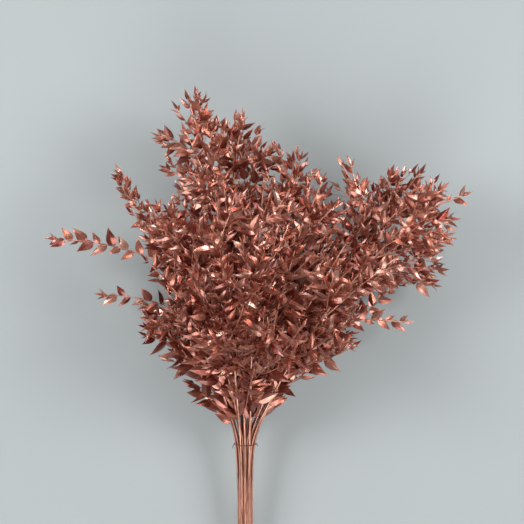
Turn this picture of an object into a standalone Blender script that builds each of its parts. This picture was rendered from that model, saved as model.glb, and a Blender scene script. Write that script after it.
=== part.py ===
"""A tied bunch of dried, copper-painted ruscus, lying on a surface: nineteen leafy stems and a wire.

Metres, +Z up. The stems run along +Y from their cut ends, and the surface is the plane z = 0.
Positions are worked out from the middle of the tie, and the bunch is moved at the end so that its
origin lies under the middle of its bounding box.
"""

import itertools
import math
import random
from collections import defaultdict
from dataclasses import dataclass, field

import bmesh
import bpy
import numpy as np
from mathutils import Matrix, Vector
from mathutils.bvhtree import BVHTree

MM = 0.001

# The bundle of bare stems: cut ends, waist (its tightest place) and tie. It nests like a honeycomb.
CUT_Y = -197 * MM
WAIST_Y = -88 * MM
TIE_Y = 0.0
ROWS = (3, 4, 5, 4, 3)
PITCH = 4.5 * MM
ROW_RISE = PITCH * math.sin(math.radians(60))
SPREAD_AT_CUT = 1.12
TIE_WIDER = 1.42
TIE_FLATTER = 0.95
BUNDLE_SLOPE = math.radians(7.5)
CUT_UNEVEN = 9 * MM
AIM_Y = 90 * MM

# The stems
CUT_RADIUS = 2.1 * MM
TIE_RADIUS = 1.9 * MM
TIP_RADIUS = 0.8 * MM
STEM_SIDES = 6
STEM_BENDS = 6

# The side shoots: the next one starts GOLDEN_TURN further round its stem
SHOOT_RADIUS = 1.1 * MM
SHOOT_TIP_RADIUS = 0.6 * MM
SHOOT_SIDES = 3
SHOOT_BENDS = 3
SHOOT_LONGEST = 120 * MM
SHOOT_SHORTEST = 50 * MM
SHOOT_ANGLES = (30, 52)
SHOOT_TRIES = 24
GOLDEN_TURN = math.radians(137.5)
HEAD_FLATNESS = 0.62
HEAD_TOP = 212 * MM

# The leaves: as wide as LEAF_WIDTH times their length, and longest near the tie
LEAF_LENGTH = 22 * MM
LOW_LEAF_EXTRA = 15 * MM
LOW_LEAF_Y = 50 * MM
LOW_LEAF_REACH = 75 * MM
TIP_LEAF_SHARE = 0.66
END_LEAF_LENGTH = 14 * MM
END_LEAF_ROOT = 2.5 * MM
LEAF_WIDTH = 0.46
LEAF_ARCH = 0.05
LEAF_RIDGE = 0.055
LEAF_RIDGE_LEAST = 1.1 * MM
RIDGE_PLACE = 0.75
LEAF_STEP = 9.8 * MM
FIRST_LEAF = 9 * MM
EVERY_NTH_LEAF = 3
LEAF_TRIES = 9
ROOT_DEPTH = 0.35
OVATE = [(0.30, 0.47 * LEAF_WIDTH), (0.64, 0.36 * LEAF_WIDTH)]
KITE = [(0.40, 0.48 * LEAF_WIDTH)]
KITE_BELOW = 24 * MM

# The binding wire
WIRE_RADIUS = 0.55 * MM
WIRE_SIDES = 6
WIRE_CORNERS = 24
WIRE_GAP = 0.3 * MM
WIRE_END = 7 * MM

CLEARANCE = 0.45 * MM
FLOOR_CLEARANCE = 0.2 * MM
CELL = 25 * MM
SHORTEST_EDGE = 0.01 * MM

COPPER_PAINT = (0.42, 0.17, 0.125)
WIRE_COPPER = (0.16, 0.065, 0.05)


@dataclass
class Stem:
    """One stem of the bunch: where it goes after the tie, and what grows on it. Lengths in mm.

    route holds the points that it passes through after the tie, the last one its tip. shoots is
    how many side shoots grow by rule, and leafy_from the height of its lowest leaf over the tie.
    aimed holds (height, tip) of the side shoots that give the bunch its outline.
    """

    name: str
    route: list
    shoots: int
    leafy_from: float
    aimed: list = field(default_factory=list)


STEMS = [
    Stem("plume_left", [(-30, 200, 98), (-50, 380, 108), (-79, 486, 118)], 7, 110,
         [(398, (-120, 436, 96)), (345, (-110, 390, 80)), (440, (-56, 484, 126)),
          (318, (-94, 362, 70))]),
    Stem("top_middle", [(-16, 250, 76), (-14, 390, 84), (-4, 462, 92)], 6, 110,
         [(372, (20, 444, 84)), (362, (-34, 452, 100)), (350, (36, 414, 92))]),
    Stem("left_arched", [(-58, 150, 80), (-93, 224, 84), (-146, 326, 88), (-175, 386, 94)], 5, 90,
         [(258, (-268, 291, 84))]),
    Stem("left_front", [(-44, 180, 122), (-80, 270, 146), (-118, 336, 150)], 6, 80),
    Stem("left_low", [(-34, 62, 36), (-86, 123, 42), (-138, 182, 50)], 4, 30),
    Stem("left_wide", [(-42, 110, 42), (-84, 196, 54), (-126, 238, 64)], 3, 70,
         [(186, (-202, 213, 52))]),
    Stem("left_under", [(-40, 170, 20), (-92, 318, 1)], 5, 90,
         [(120, (-146, 196, 0))]),
    Stem("middle_left_front", [(-20, 180, 136), (-38, 340, 180)], 6, 90),
    Stem("middle_front", [(12, 180, 144), (26, 360, 188)], 6, 90),
    Stem("low_front", [(-4, 80, 78), (-12, 140, 128), (-28, 192, 164)], 4, 42),
    Stem("crown_right", [(36, 240, 88), (62, 340, 100), (79, 406, 108)], 7, 110,
         [(275, (102, 350, 66)), (350, (46, 418, 96))]),
    Stem("right_shoulder", [(42, 180, 118), (78, 300, 140), (108, 372, 136)], 7, 80,
         [(285, (130, 338, 110))]),
    Stem("right_upper", [(70, 170, 96), (122, 250, 104), (165, 310, 112), (160, 356, 118),
                         (134, 394, 124)], 6, 90),
    Stem("right_cluster", [(70, 150, 60), (122, 232, 70), (172, 296, 78), (222, 350, 88),
                           (246, 386, 92)], 7, 90,
         [(268, (270, 258, 62)), (300, (204, 384, 104)), (330, (280, 322, 66)),
          (290, (190, 368, 84))]),
    Stem("right_far", [(66, 120, 90), (132, 212, 108), (214, 300, 122), (264, 344, 118),
                       (306, 353, 110)], 7, 90,
         [(262, (284, 290, 96)), (300, (262, 370, 128)), (306, (286, 318, 130))]),
    Stem("right_outer", [(60, 110, 50), (108, 188, 54), (150, 226, 62), (200, 246, 66),
                         (276, 248, 66)], 5, 80,
         [(232, (268, 226, 46))]),
    Stem("right_under", [(40, 160, 16), (120, 300, 1)], 5, 90,
         [(125, (146, 178, 0))]),
    Stem("right_low", [(52, 100, 40), (98, 156, 48), (150, 176, 50), (228, 174, 44)], 3, 50),
    Stem("right_base", [(40, 66, 40), (72, 118, 42), (104, 142, 38), (150, 149, 30)], 2, 30),
]

# The outline of the leafy head seen from above, in mm from the middle of the tie. The shoots that
# grow by rule stay within it, and only the aimed ones stand out.
OUTLINE = [
    (-18, 20), (-60, 52), (-98, 98), (-150, 152), (-152, 180), (-138, 196), (-96, 204), (-134, 238),
    (-122, 268), (-152, 300), (-172, 342), (-186, 392), (-172, 404), (-142, 350), (-98, 352),
    (-112, 388), (-130, 438), (-108, 450), (-92, 440), (-96, 486), (-82, 504), (-54, 496),
    (-34, 470), (-4, 480), (22, 450), (30, 428), (66, 424), (86, 416), (116, 380), (138, 344),
    (148, 340), (128, 404), (146, 404), (162, 372), (190, 380), (206, 396), (248, 402), (262, 372),
    (304, 364), (318, 352), (286, 344), (296, 300), (278, 250), (274, 222), (230, 230), (170, 196),
    (168, 164), (158, 142), (94, 128), (80, 102), (54, 78), (44, 52), (18, 20),
]


def clear_scene():
    for obj in list(bpy.data.objects):
        bpy.data.objects.remove(obj, do_unlink=True)


def material(name, colour, roughness, metallic):
    made = bpy.data.materials.new(name)
    made.use_nodes = True
    shader = made.node_tree.nodes["Principled BSDF"]
    shader.inputs["Base Color"].default_value = (*colour, 1)
    shader.inputs["Roughness"].default_value = roughness
    shader.inputs["Metallic"].default_value = metallic
    return made


# Curves and the wood along them


def smooth_route(before, points, count):
    """count + 1 points, evenly spaced, on a smooth curve through the given ones (Catmull-Rom).

    before is the point that the curve comes from.
    """
    ends = [before, *points, 2 * points[-1] - points[-2]]
    fine = []
    steps = 24
    for a, b, c, d in zip(ends, ends[1:], ends[2:], ends[3:]):
        for k in range(steps):
            t = k / steps
            fine.append(0.5 * (2 * b + (c - a) * t + (2 * a - 5 * b + 4 * c - d) * t * t
                               + (3 * b - a - 3 * c + d) * t ** 3))
    fine.append(points[-1].copy())
    return evenly(fine, count)


def arc_towards(base, middle, tip):
    """Points on a curve that leaves the base towards the middle, and then bends to the tip."""
    return [base.lerp(middle, t).lerp(middle.lerp(tip, t), t) for t in np.linspace(0, 1, 9)]


def evenly(points, count):
    lengths = np.cumsum([0.0] + [(b - a).length for a, b in zip(points, points[1:])])
    wanted = np.linspace(0, lengths[-1], count + 1)
    co = np.array(points)
    return [Vector(p) for p in zip(*(np.interp(wanted, lengths, co[:, k]) for k in range(3)))]


def frames_along(path, first_tangent=None, up=Vector((0, 0, 1))):
    """A frame at each point of the path: its Z runs along the path, and its Y nearly along up."""
    made = []
    for k, point in enumerate(path):
        along = (path[min(k + 1, len(path) - 1)] - path[max(k - 1, 0)]).normalized()
        if k == 0 and first_tangent:
            along = first_tangent
        across = up.cross(along).normalized()
        turn = Matrix((across, along.cross(across), along)).transposed()
        made.append(Matrix.Translation(point) @ turn.to_4x4())
    return made


def swept(frames, radii, sides):
    """A disc extruded from frame to frame, closed at both ends, with a corner towards frame Y."""
    bm = bmesh.new()
    bmesh.ops.create_circle(bm, cap_ends=True, radius=radii[0], segments=sides)
    end = bm.faces[:][0]
    bmesh.ops.transform(bm, matrix=frames[0], verts=bm.verts)
    for before, after, r0, r1 in zip(frames, frames[1:], radii, radii[1:]):
        grown = bmesh.ops.extrude_face_region(bm, geom=[end])
        if before is not frames[0]:
            bm.faces.remove(end)
        end = next(g for g in grown["geom"] if isinstance(g, bmesh.types.BMFace))
        move = after @ Matrix.Scale(r1 / r0, 4) @ before.inverted()
        bmesh.ops.transform(bm, matrix=move, verts=end.verts)
    bmesh.ops.recalc_face_normals(bm, faces=bm.faces)
    return bm


@dataclass
class Wood:
    """A piece of wood that bears leaves: a stem's own axis, or one of its side shoots."""

    name: str
    path: list
    radii: list
    sides: int
    first_tangent: Vector = None

    def length(self):
        return sum((b - a).length for a, b in zip(self.path, self.path[1:]))

    def at(self, distance):
        """The point at this distance from the base, the direction there, and the radius."""
        for a, b, r0, r1 in zip(self.path, self.path[1:], self.radii, self.radii[1:]):
            step = (b - a).length
            if distance <= step:
                share = distance / step
                return a.lerp(b, share), (b - a).normalized(), r0 + (r1 - r0) * share
            distance -= step
        return self.path[-1].copy(), (b - a).normalized(), self.radii[-1]

    def distance_at(self, y):
        """The distance from the base at which the wood first reaches this Y."""
        distance = 0.0
        while self.at(distance)[0].y < y and distance < self.length():
            distance += 1 * MM
        return distance

    def shape(self, grown=0.0):
        frames = frames_along(self.path, self.first_tangent)
        return swept(frames, [r + grown for r in self.radii], self.sides)

    def fits(self, room, ignore=()):
        return room.is_free(self.shape(CLEARANCE), ignore)


class Room:
    """The space taken so far, and whether another piece would touch what is there."""

    def __init__(self):
        self.taken = []
        self.cells = defaultdict(set)

    @staticmethod
    def reach(bm):
        """The lowest and highest corner of a shape's box, and the cells that it lies in."""
        points = [v.co for v in bm.verts]
        low, high = np.min(points, axis=0), np.max(points, axis=0)
        spans = [range(math.floor(a / CELL), math.floor(b / CELL) + 1) for a, b in zip(low, high)]
        return low, high, itertools.product(*spans)

    def add(self, bm, owner):
        """Takes the space of a shape, and turns the shape into a mesh."""
        low, high, cells = self.reach(bm)
        for cell in cells:
            self.cells[cell].add(len(self.taken))
        self.taken.append((low, high, BVHTree.FromBMesh(bm), owner))
        return as_mesh(bm, owner)

    def is_free(self, bm, ignore=()):
        """Whether a test shape touches nothing but what is ignored. The shape is used up."""
        low, high, cells = self.reach(bm)
        near = set().union(*(self.cells[cell] for cell in cells if cell in self.cells))
        tree = BVHTree.FromBMesh(bm)
        bm.free()
        for k in sorted(near):
            other_low, other_high, other_tree, owner = self.taken[k]
            if owner in ignore or (other_low > high).any() or (other_high < low).any():
                continue
            if tree.overlap(other_tree):
                return False
        return True


def as_mesh(bm, name):
    mesh = bpy.data.meshes.new(name)
    bm.to_mesh(mesh)
    bm.free()
    return mesh


# The stems


def bundle_places():
    """Each stem's place across the waist of the bundle."""
    places = []
    for row, count in enumerate(ROWS):
        height = (row - (len(ROWS) - 1) / 2) * ROW_RISE
        places += [Vector(((k - (count - 1) / 2) * PITCH, height)) for k in range(count)]
    return places


def shared_out(stems, places):
    """A place for each stem on the side that it leaves by, so that no two stems cross."""
    aims = [aim_of(stem) for stem in stems]
    chosen = list(range(len(stems)))
    swapped = True
    while swapped:
        swapped = False
        for i, j in itertools.combinations(range(len(stems)), 2):
            apart = places[chosen[i]] - places[chosen[j]]
            if apart.dot(aims[i] - aims[j]) < -1e-9:
                chosen[i], chosen[j] = chosen[j], chosen[i]
                swapped = True
    return [places[k] for k in chosen]


def aim_of(stem):
    """Where the stem's route passes, across the bunch, a little above the tie."""
    points = [(0, 0, bundle_height(0) / MM), *stem.route]
    heights = [p[1] for p in points]
    return Vector([np.interp(AIM_Y / MM, heights, [p[k] for p in points]) for k in (0, 2)])


def bundle_height(y):
    """Height of the bundle's middle: its lowest row touches the surface at the cut ends."""
    at_cut = (len(ROWS) - 1) / 2 * ROW_RISE * SPREAD_AT_CUT + CUT_RADIUS
    return at_cut + (y - CUT_Y) * math.tan(BUNDLE_SLOPE)


def stem_axis(stem, place, lift):
    """The stem's own axis, from its cut end through the bundle and along its lifted route."""
    lowest_row = place.y < -1.5 * ROW_RISE
    uneven = random.Random(f"{stem.name} cut").uniform(0.1, 1) * CUT_UNEVEN
    cut_y = CUT_Y if lowest_row else CUT_Y + uneven

    def across(y, wide, tall):
        return Vector((place.x * wide, y, bundle_height(y) + place.y * tall))

    lower = [across(cut_y, SPREAD_AT_CUT, SPREAD_AT_CUT), across(WAIST_Y, 1, 1)]
    upper = [across(TIE_Y, TIE_WIDER, TIE_FLATTER)]
    for k, point in enumerate(stem.route):
        rise = lift * (k + 1) / len(stem.route)
        upper.append(Vector(point) * MM + Vector((0, 0, rise)))
    path = lower + smooth_route(lower[-1], upper, STEM_BENDS)
    radii = [CUT_RADIUS, CUT_RADIUS]
    radii += list(np.linspace(TIE_RADIUS, TIP_RADIUS, STEM_BENDS + 1))
    rest_on_surface(path, radii, STEM_SIDES)
    return Wood(stem.name, path, radii, STEM_SIDES, Vector((0, 1, 0)))


def rest_on_surface(path, radii, sides):
    """Wood that would sink under the surface lies along it, on the lowest part of its section."""
    depth = 1 if sides % 2 == 0 else math.cos(math.pi / sides)
    for point, radius in zip(path, radii):
        point.z = max(point.z, radius * depth)


# The side shoots


def shoot_along(name, curve, stem_radius):
    thick = min(SHOOT_RADIUS, 0.72 * stem_radius)
    path = evenly(curve, SHOOT_BENDS)
    radii = list(np.linspace(thick, SHOOT_TIP_RADIUS, SHOOT_BENDS + 1))
    root = path[0].copy()
    rest_on_surface(path, radii, SHOOT_SIDES)
    path[0] = root
    return Wood(name, path, radii, SHOOT_SIDES)


def aimed_shoot(axis, name, height, tip, lift):
    """A side shoot that leaves the stem at a height above the tie and ends at a given point."""
    base, along, radius = axis.at(axis.distance_at(height * MM))
    end = Vector(tip) * MM + Vector((0, 0, lift))
    middle = base.lerp(end, 0.5) + along * 0.12 * (end - base).length
    return shoot_along(name, arc_towards(base, middle, end), radius)


def ruled_shoot(stem, axis, k, attempt, rng):
    """A draw of the stem's k-th side shoot: they go round it, and are shorter towards its tip."""
    whole = axis.length()
    first = axis.distance_at(stem.leafy_from * MM) + 20 * MM
    share = (k + 0.35) / stem.shoots
    start = first + (whole * 0.96 - first) * (share + rng.uniform(-0.04, 0.04))
    base, along, radius = axis.at(start)
    around = k * GOLDEN_TURN + rng.uniform(-0.5, 0.5) + attempt * 0.7
    outward = Matrix.Rotation(around, 3, along) @ along.orthogonal().normalized()
    outward.z *= HEAD_FLATNESS
    outward.normalize()
    lean = math.radians(rng.uniform(*SHOOT_ANGLES))
    direction = (along * math.cos(lean) + outward * math.sin(lean)).normalized()
    length = SHOOT_LONGEST + (SHOOT_SHORTEST - SHOOT_LONGEST) * share
    length *= rng.uniform(0.8, 1.15) * 0.975 ** attempt
    tip = base + (direction * 0.8 + along * 0.2).normalized() * length
    curve = arc_towards(base, base + direction * length * 0.55, tip)
    return shoot_along(f"{stem.name} {k}", curve, radius)


def stays_in_head(shoot):
    """Whether the shoot, with its end leaf, stays within the outline and under the top."""
    base, tip = shoot.path[0], shoot.path[-1]
    leaf_tip = tip + (tip - base).normalized() * END_LEAF_LENGTH
    x, y = leaf_tip.x / MM, leaf_tip.y / MM
    inside = False
    for (x0, y0), (x1, y1) in zip(OUTLINE, OUTLINE[1:] + OUTLINE[:1]):
        if (y0 > y) != (y1 > y) and x < x0 + (x1 - x0) * (y - y0) / (y1 - y0):
            inside = not inside
    return inside and leaf_tip.z < HEAD_TOP


def first_to_fit(draws, room, ignore=()):
    """The first of the draws that touches nothing but what it grows from, or None."""
    return next((wood for wood in draws if wood.fits(room, ignore)), None)


def grow_wood(room):
    """The wood of every stem and its meshes: {stem name: [(wood, mesh), ...]}, the axis first."""
    places = shared_out(STEMS, bundle_places())
    grown = {}

    def keep(stem, wood):
        grown.setdefault(stem.name, []).append((wood, room.add(wood.shape(), wood.name)))

    for stem, place in zip(STEMS, places):
        lifts = (0, 7, -7, 14, -14, 21, -21, 28)
        axis = first_to_fit((stem_axis(stem, place, lift * MM) for lift in lifts), room)
        if axis is None:
            raise ValueError(f"{stem.name} crosses another stem")
        keep(stem, axis)
    for stem in STEMS:
        axis = grown[stem.name][0][0]
        for k, (height, tip) in enumerate(stem.aimed):
            draws = (aimed_shoot(axis, f"{stem.name} aimed {k}", height, tip, lift * MM)
                     for lift in (0, 6, -6, 12, -12, 18))
            shoot = first_to_fit(draws, room, ignore=(stem.name,))
            if shoot:
                keep(stem, shoot)
    for stem in STEMS:
        axis = grown[stem.name][0][0]
        for k in range(stem.shoots):
            rng = random.Random(f"{stem.name} shoot {k}")
            draws = (ruled_shoot(stem, axis, k, attempt, rng) for attempt in range(SHOOT_TRIES))
            shoot = first_to_fit(filter(stays_in_head, draws), room, ignore=(stem.name,))
            if shoot:
                keep(stem, shoot)
    return grown


# The leaves


def blade(length, outline, grown=0.0):
    """A thin arched leaf along +X, pointed at both ends, with a ridge on its upper face.

    outline holds (place along the leaf, half width) pairs, as shares of the length. The base lies
    at the origin. grown adds that much on all sides, to test the room around a leaf.
    """
    ridge = max(LEAF_RIDGE * length, LEAF_RIDGE_LEAST)
    around = [(0, 0), *((t, -half) for t, half in outline), (1, 0)]
    around += [(t, half) for t, half in reversed(outline)]
    bm = bmesh.new()
    rim = bmesh.ops.create_circle(bm, radius=1, segments=len(around))["verts"]
    for vert, (t, half) in zip(rim, around):
        side = half * length + math.copysign(grown, half) * (half != 0)
        vert.co = (t * length + grown * (t == 1), side, arch_at(t, length) - grown)
    bmesh.ops.contextual_create(bm, geom=bm.edges[:])
    upper = bmesh.ops.duplicate(bm, geom=bm.faces[:])["geom"]
    face = next(g for g in upper if isinstance(g, bmesh.types.BMFace))
    peak = bmesh.ops.poke(bm, faces=[face])["verts"][0]
    middle = RIDGE_PLACE * sum(t for t, _ in outline) / len(outline)
    peak.co = (middle * length, 0, arch_at(middle, length) + ridge + grown)
    bmesh.ops.remove_doubles(bm, verts=bm.verts, dist=1e-7)
    bmesh.ops.triangulate(bm, faces=bm.faces)
    bmesh.ops.recalc_face_normals(bm, faces=bm.faces)
    return bm


def arch_at(t, length):
    return 4 * LEAF_ARCH * length * t * (1 - t)


@dataclass
class LeafSpot:
    """Where a leaf grows: how far along which wood, on which side, how long, at what angle."""

    wood: Wood
    key: str
    distance: float
    side: int
    length: float
    lean: float


def leaf_spots(wood, first):
    """Every leaf of a piece of wood: alternate, smaller towards the tip, one at the very tip."""
    whole = wood.length()
    for k in range(int((whole - first - 3 * MM) / LEAF_STEP)):
        distance = first + k * LEAF_STEP
        share = distance / whole
        rng = random.Random(f"{wood.name} leaf {k}")
        height = max(0, wood.at(distance)[0].y - LOW_LEAF_Y)
        length = LEAF_LENGTH + LOW_LEAF_EXTRA * math.exp(-height / LOW_LEAF_REACH)
        length *= (1 + (TIP_LEAF_SHARE - 1) * share ** 2) * rng.uniform(0.85, 1.12)
        lean = 58 - 22 * share + rng.uniform(-9, 9)
        yield LeafSpot(wood, f"{wood.name} leaf {k}", distance, (-1) ** k, length, lean)
    end = whole - END_LEAF_ROOT
    yield LeafSpot(wood, f"{wood.name} end leaf", end, 0, END_LEAF_LENGTH + END_LEAF_ROOT, 0)


def leaf_place(spot, rng, turn):
    """The leaf's matrix: it leans out from its wood in the plane of the spray, and is twisted."""
    base, along, radius = spot.wood.at(spot.distance)
    spray = random.Random(f"{spot.wood.name} plane")
    tilt = Matrix.Rotation(spray.gauss(0, 0.5) + turn, 3, along)
    face = tilt @ (Vector((0, 0, 1)) - along * along.z).normalized()
    lean = Matrix.Rotation(spot.side * math.radians(spot.lean + rng.uniform(-8, 8)), 3, face)
    out = lean @ along
    if spot.side:
        flap = Matrix.Rotation(rng.gauss(0, 0.24), 3, out.cross(face))
        out = (flap @ out).normalized()
    twist = Matrix.Rotation(rng.gauss(0, 0.45), 3, out)
    normal = twist @ (face - out * face.dot(out)).normalized()
    axes = Matrix((out, normal.cross(out), normal)).transposed()
    root = base - out * ROOT_DEPTH * radius if spot.side else base
    return Matrix.Translation(root) @ axes.to_4x4()


def grown_leaf(spot, room):
    """The mesh of a leaf that touches nothing but its own wood, or None.

    Where the plane of the spray has no room, the leaf grows on another side of its wood.
    """
    rng = random.Random(spot.key)
    for attempt in range(LEAF_TRIES):
        length = spot.length * 0.96 ** attempt
        outline = KITE if length < KITE_BELOW else OVATE
        turn = rng.uniform(-math.pi, math.pi) if attempt > 2 else 0
        place = leaf_place(spot, rng, turn)
        test = blade(length, outline, CLEARANCE)
        test.transform(place)
        over_surface = min(v.co.z for v in test.verts) > FLOOR_CLEARANCE
        if room.is_free(test, ignore=(spot.wood.name,)) and over_surface:
            leaf = blade(length, outline)
            leaf.transform(place)
            return room.add(leaf, spot.key)
    return None


def grow_leaves(stem, pieces, room):
    """The leaves that the solid holds: every third one, and the last one on each tip."""
    leaves = []
    for wood, _ in pieces:
        is_axis = wood.name == stem.name
        first = wood.distance_at(stem.leafy_from * MM) if is_axis else FIRST_LEAF
        *along, end = leaf_spots(wood, first)
        for spot in [end, *along[::EVERY_NTH_LEAF]]:
            leaves.append(grown_leaf(spot, room))
    return [leaf for leaf in leaves if leaf]


# Joining


def clean(mesh):
    """Deletes the union's scraps and closes up its shortest edges."""
    bm = bmesh.new()
    bm.from_mesh(mesh)
    bmesh.ops.triangulate(bm, faces=bm.faces)
    keep_largest_body(bm)
    bmesh.ops.dissolve_degenerate(bm, dist=SHORTEST_EDGE, edges=bm.edges)
    bmesh.ops.triangulate(bm, faces=bm.faces)
    keep_largest_body(bm)
    bm.to_mesh(mesh)
    bm.free()


def keep_largest_body(bm):
    """Deletes every other body, also a sliver that hangs on it by an edge or a corner."""
    left, bodies = set(bm.faces), []
    while left:
        body, front = [], [left.pop()]
        while front:
            face = front.pop()
            body.append(face)
            for edge in face.edges:
                if len(edge.link_faces) == 2:
                    beyond = left.intersection(edge.link_faces)
                    left -= beyond
                    front += beyond
        bodies.append(body)
    largest = max(bodies, key=len)
    scraps = [face for body in bodies if body is not largest for face in body]
    bmesh.ops.delete(bm, geom=scraps, context="FACES")


def joined(name, body, pieces, paint):
    """One solid from a body and the pieces that grow from it, by one Boolean union."""
    scene = bpy.context.scene.collection
    base = bpy.data.objects.new(name, body)
    scene.objects.link(base)
    growth = bpy.data.collections.new(f"{name} growth")
    scene.children.link(growth)
    for piece in pieces:
        growth.objects.link(bpy.data.objects.new(piece.name, piece))
    union = base.modifiers.new("join", "BOOLEAN")
    union.operation = "UNION"
    union.operand_type = "COLLECTION"
    union.collection = growth
    union.solver = "MANIFOLD"
    evaluated = base.evaluated_get(bpy.context.evaluated_depsgraph_get())
    mesh = bpy.data.meshes.new_from_object(evaluated)
    clean(mesh)
    base.modifiers.clear()
    base.data = mesh
    for obj in list(growth.objects):
        bpy.data.objects.remove(obj, do_unlink=True)
    bpy.data.collections.remove(growth)
    mesh.materials.clear()
    mesh.materials.append(paint)
    return base


# The wire


def tie_loop(places):
    """The wire's middle line: tight round the outer stems, in a plane square to the bundle."""
    reach = TIE_RADIUS + WIRE_GAP + WIRE_RADIUS
    spots = [Vector((p.x * TIE_WIDER, p.y * TIE_FLATTER)) for p in places]
    loop = []
    for k in range(WIRE_CORNERS):
        angle = 2 * math.pi * k / WIRE_CORNERS
        side = Vector((math.cos(angle), math.sin(angle)))
        x, rise = max(spots, key=side.dot) + side * reach
        back = -math.tan(BUNDLE_SLOPE) * rise
        loop.append(Vector((x, TIE_Y + back, bundle_height(TIE_Y) + rise)))
    return loop


def ring_along(loop):
    """A ring of wire along the loop: swept once round, with its two ends made one."""
    around = [loop[-1], *loop, loop[0], loop[1]]
    frames = frames_along(around, up=Vector((0, 1, 0)))[1:-1]
    bm = swept(frames, [WIRE_RADIUS] * len(frames), WIRE_SIDES)
    caps = [face for face in bm.faces if len(face.verts) == WIRE_SIDES]
    bmesh.ops.delete(bm, geom=caps, context="FACES_ONLY")
    bmesh.ops.remove_doubles(bm, verts=bm.verts, dist=1e-6)
    bmesh.ops.recalc_face_normals(bm, faces=bm.faces)
    return bm


def binding_wire(places, paint):
    """The ring of wire with its two ends, one at each side, bent down along the bundle."""
    loop = tie_loop(places)
    ends = []
    for side, share in ((-1, 1.0), (1, 0.7)):
        start = max(loop, key=lambda p: p.x * side)
        bend = start + Vector((side * 1.8 * MM, 0, 0.8 * MM))
        tip = bend + Vector((side * 0.6 * MM, -share * WIRE_END, 1.5 * MM))
        end = swept(frames_along([start, bend, tip]), [WIRE_RADIUS * 0.85] * 3, WIRE_SIDES)
        ends.append(as_mesh(end, "wire end"))
    return joined("binding_wire", as_mesh(ring_along(loop), "wire ring"), ends, paint)


def centre_on_surface(objects):
    """Moves everything so that the origin is under the middle of the bounding box."""
    co = np.array([v.co for obj in objects for v in obj.data.vertices])
    low, high = co.min(0), co.max(0)
    shift = Matrix.Translation((-(low[0] + high[0]) / 2, -(low[1] + high[1]) / 2, -low[2]))
    for obj in objects:
        obj.data.transform(shift)


def main():
    clear_scene()
    copper = material("copper_paint", COPPER_PAINT, 0.4, 0.85)
    dull_wire = material("copper_wire", WIRE_COPPER, 0.5, 0.9)
    room = Room()
    wood = grow_wood(room)
    made = [binding_wire(bundle_places(), dull_wire)]
    for stem in STEMS:
        pieces = wood[stem.name]
        leaves = grow_leaves(stem, pieces, room)
        (_, axis), *shoots = pieces
        growth = [mesh for _, mesh in shoots] + leaves
        made.append(joined(f"stem_{stem.name}", axis, growth, copper))
    centre_on_surface(made)


main()
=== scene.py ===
"""Dried ruscus in copper paint: a tied bunch of leafy stems, lying on a pale studio floor.

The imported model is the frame. Its stems are solids that hold about a third of their leaves. Each
stem is grown here again by the rule that its solid grew by, with the same random draws, so that
its wood and its first leaves are where the solid has them. It then gets ribbed wood, thin leaves
with a fold and a curl of their own, the leaves in between, and the short twigs that fill the head.

Metres, +Z up. The bunch grows from the middle of its tie, and is moved to the frame's own place
once it is whole. Tables that say so are in millimetres.
"""

import itertools
import logging
import math
import random
from collections import defaultdict
from collections.abc import Iterable, Iterator
from dataclasses import dataclass, field, replace
from enum import Enum

import bmesh
import bpy
import numpy as np
from mathutils import Matrix, Vector
from mathutils.bvhtree import BVHTree


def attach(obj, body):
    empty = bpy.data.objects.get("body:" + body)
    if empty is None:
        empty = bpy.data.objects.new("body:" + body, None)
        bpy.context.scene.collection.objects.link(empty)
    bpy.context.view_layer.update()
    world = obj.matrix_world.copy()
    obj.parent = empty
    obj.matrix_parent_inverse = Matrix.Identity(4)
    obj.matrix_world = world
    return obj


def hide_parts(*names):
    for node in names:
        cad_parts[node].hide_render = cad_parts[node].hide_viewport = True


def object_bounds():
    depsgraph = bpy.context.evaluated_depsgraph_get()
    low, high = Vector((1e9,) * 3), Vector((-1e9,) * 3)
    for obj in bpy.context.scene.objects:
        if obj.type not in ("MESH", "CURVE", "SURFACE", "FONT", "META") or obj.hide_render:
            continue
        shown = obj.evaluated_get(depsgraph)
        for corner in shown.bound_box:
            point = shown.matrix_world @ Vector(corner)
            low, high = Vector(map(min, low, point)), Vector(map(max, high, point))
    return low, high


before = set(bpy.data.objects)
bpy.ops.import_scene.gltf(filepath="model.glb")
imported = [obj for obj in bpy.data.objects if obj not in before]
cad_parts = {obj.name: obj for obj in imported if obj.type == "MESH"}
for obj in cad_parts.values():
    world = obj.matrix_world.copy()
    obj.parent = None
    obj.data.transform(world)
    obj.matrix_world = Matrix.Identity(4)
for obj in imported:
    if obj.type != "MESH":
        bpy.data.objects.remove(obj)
CAD_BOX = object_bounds()

MM = 0.001
UP = Vector((0, 0, 1))
GOLDEN_TURN = math.radians(137.5)
RIB_ROOM = 1.08  # how high over the floor wood lies, in its radii, so that its ribs clear it

log = logging.getLogger("ruscus")


# Curves and swept wood


def evenly(points: list[Vector], count: int) -> list[Vector]:
    """Spaces points evenly along a polyline.

    Args:
        points: the polyline.
        count: the number of steps wanted.

    Returns:
        count + 1 points, the first and last of them the polyline's own ends.
    """
    lengths = np.cumsum([0.0] + [(b - a).length for a, b in zip(points, points[1:])])
    wanted = np.linspace(0, lengths[-1], count + 1)
    co = np.array(points)
    return [Vector(p) for p in zip(*(np.interp(wanted, lengths, co[:, k]) for k in range(3)))]


def catmull_rom(a: Vector, b: Vector, c: Vector, d: Vector, t: float) -> Vector:
    """The point at share t of the smooth curve's stretch from b to c, with a and d beyond it."""
    return 0.5 * (2 * b + (c - a) * t + (2 * a - 5 * b + 4 * c - d) * t * t
                  + (3 * b - a - 3 * c + d) * t ** 3)


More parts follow.
